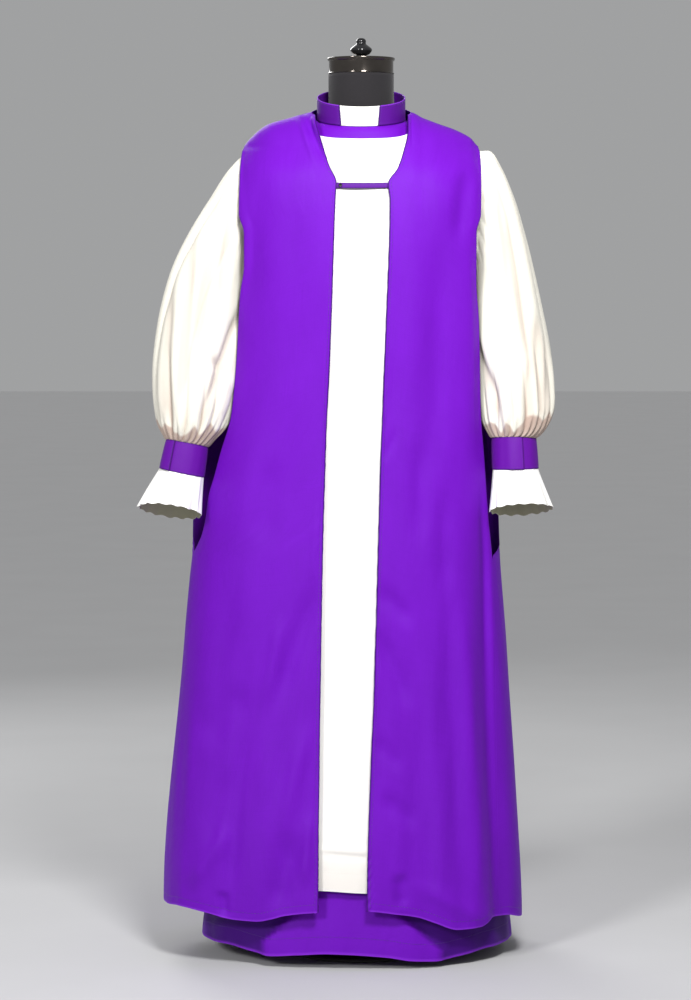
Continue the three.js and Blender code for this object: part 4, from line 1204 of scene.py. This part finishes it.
def make_cap_and_stand():
    cap = [(0, 0), (0.98, 0), (0.98, 0.05), (0.955, 0.07), (0.955, 0.78), (0.985, 0.80), (0.985, 0.84),
           (1, 0.87), (1, 0.97), (0.97, 1), (0.82, 1), (0.80, 0.95), (0.4, 0.94), (0.22, 0.97), (0.17, 1), (0, 1)]
    make_piece("neck_cap_turned", *fitted("neck_cap", cap, 0.7, 128), CHROME, "cap_metal", ["neck_cap"])
    finial = [(0, 0), (0.46, 0), (0.46, 0.10), (0.78, 0.18), (0.98, 0.34), (1, 0.40), (0.93, 0.48), (0.66, 0.60),
              (0.46, 0.68), (0.42, 0.74), (0.45, 0.86), (0.34, 0.96), (0.15, 1), (0, 1)]
    make_piece("cap_finial_turned", *fitted("cap_finial", finial, 1.4), GLOSS, "gloss_black", ["cap_finial"])
    pole = [(0, 0), (1, 0), (1, 0.42), (1, 0.425), (0.93, 0.43), (0.93, 0.995), (0.93, 1), (0, 1)]
    make_piece("stand_pole_turned", *fitted("stand_pole", pole, 0.6), STEEL, "stand_steel", ["stand_pole"])
    base = [(0, 0), (0.97, 0), (1, 0.16), (1, 0.38), (0.97, 0.62), (0.44, 0.88), (0.30, 0.92), (0.28, 1), (0, 1)]
    make_piece("stand_base_cast", *fitted("stand_base", base, 2.0, 128), IRON, "stand_iron", ["stand_base"])


make_form()
make_cap_and_stand()

# --- Floor, light and camera ----------------------------------------------------------------
floor_look = Look("pale_floor", roughness=0.7)
floor_place = floor_look.node("TexCoord").outputs["Object"]
speckle = floor_look.noise(floor_place, 3.0, 3.0)
floor_look.into("Base Color", floor_look.blend(speckle, (0.49, 0.49, 0.495, 1), (0.53, 0.53, 0.535, 1)))
floor_mesh = bpy.data.meshes.new("floor")
floor_mesh.from_pydata([(-30, -30, 0), (30, -30, 0), (30, 30, 0), (-30, 30, 0)], [], [(0, 1, 2, 3)])
floor_mesh.materials.append(floor_look.material)
floor = bpy.data.objects.new("floor", floor_mesh)
scene.collection.objects.link(floor)

world = bpy.data.worlds.new("studio")
world.use_nodes = True
world.node_tree.nodes["Background"].inputs["Color"].default_value = (0.98, 0.99, 1.0, 1)
world.node_tree.nodes["Background"].inputs["Strength"].default_value = 0.36
scene.world = world


def add_light(name, kind, place, target, power, **shape):
    data = bpy.data.lights.new(name, kind)
    data.energy = power
    for key, value in shape.items():
        setattr(data, key, value)
    lamp = bpy.data.objects.new(name, data)
    lamp.location = place
    lamp.rotation_euler = (Vector(target) - Vector(place)).to_track_quat("-Z", "Y").to_euler()
    scene.collection.objects.link(lamp)


add_light("key", "SUN", (-1.9, -3.0, 2.9), (0, 0, 1.0), 1.5, angle=math.radians(11))
add_light("chest", "AREA", (0.3, -1.9, 2.4), (0, 0, 1.35), 72, shape="DISK", size=0.6)
add_light("back", "AREA", (-1.2, 3.0, 2.6), (0, 0, 1.2), 45, shape="DISK", size=1.6)

camera_data = bpy.data.cameras.new("camera")
camera_data.lens = 120
camera_data.sensor_width = 36
camera = bpy.data.objects.new("camera", camera_data)
camera.location = (-0.028, -6.0, 1.215)
camera.rotation_euler = (math.radians(86.2), 0, 0)
scene.collection.objects.link(camera)
scene.camera = camera
scene.view_settings.view_transform = "Standard"
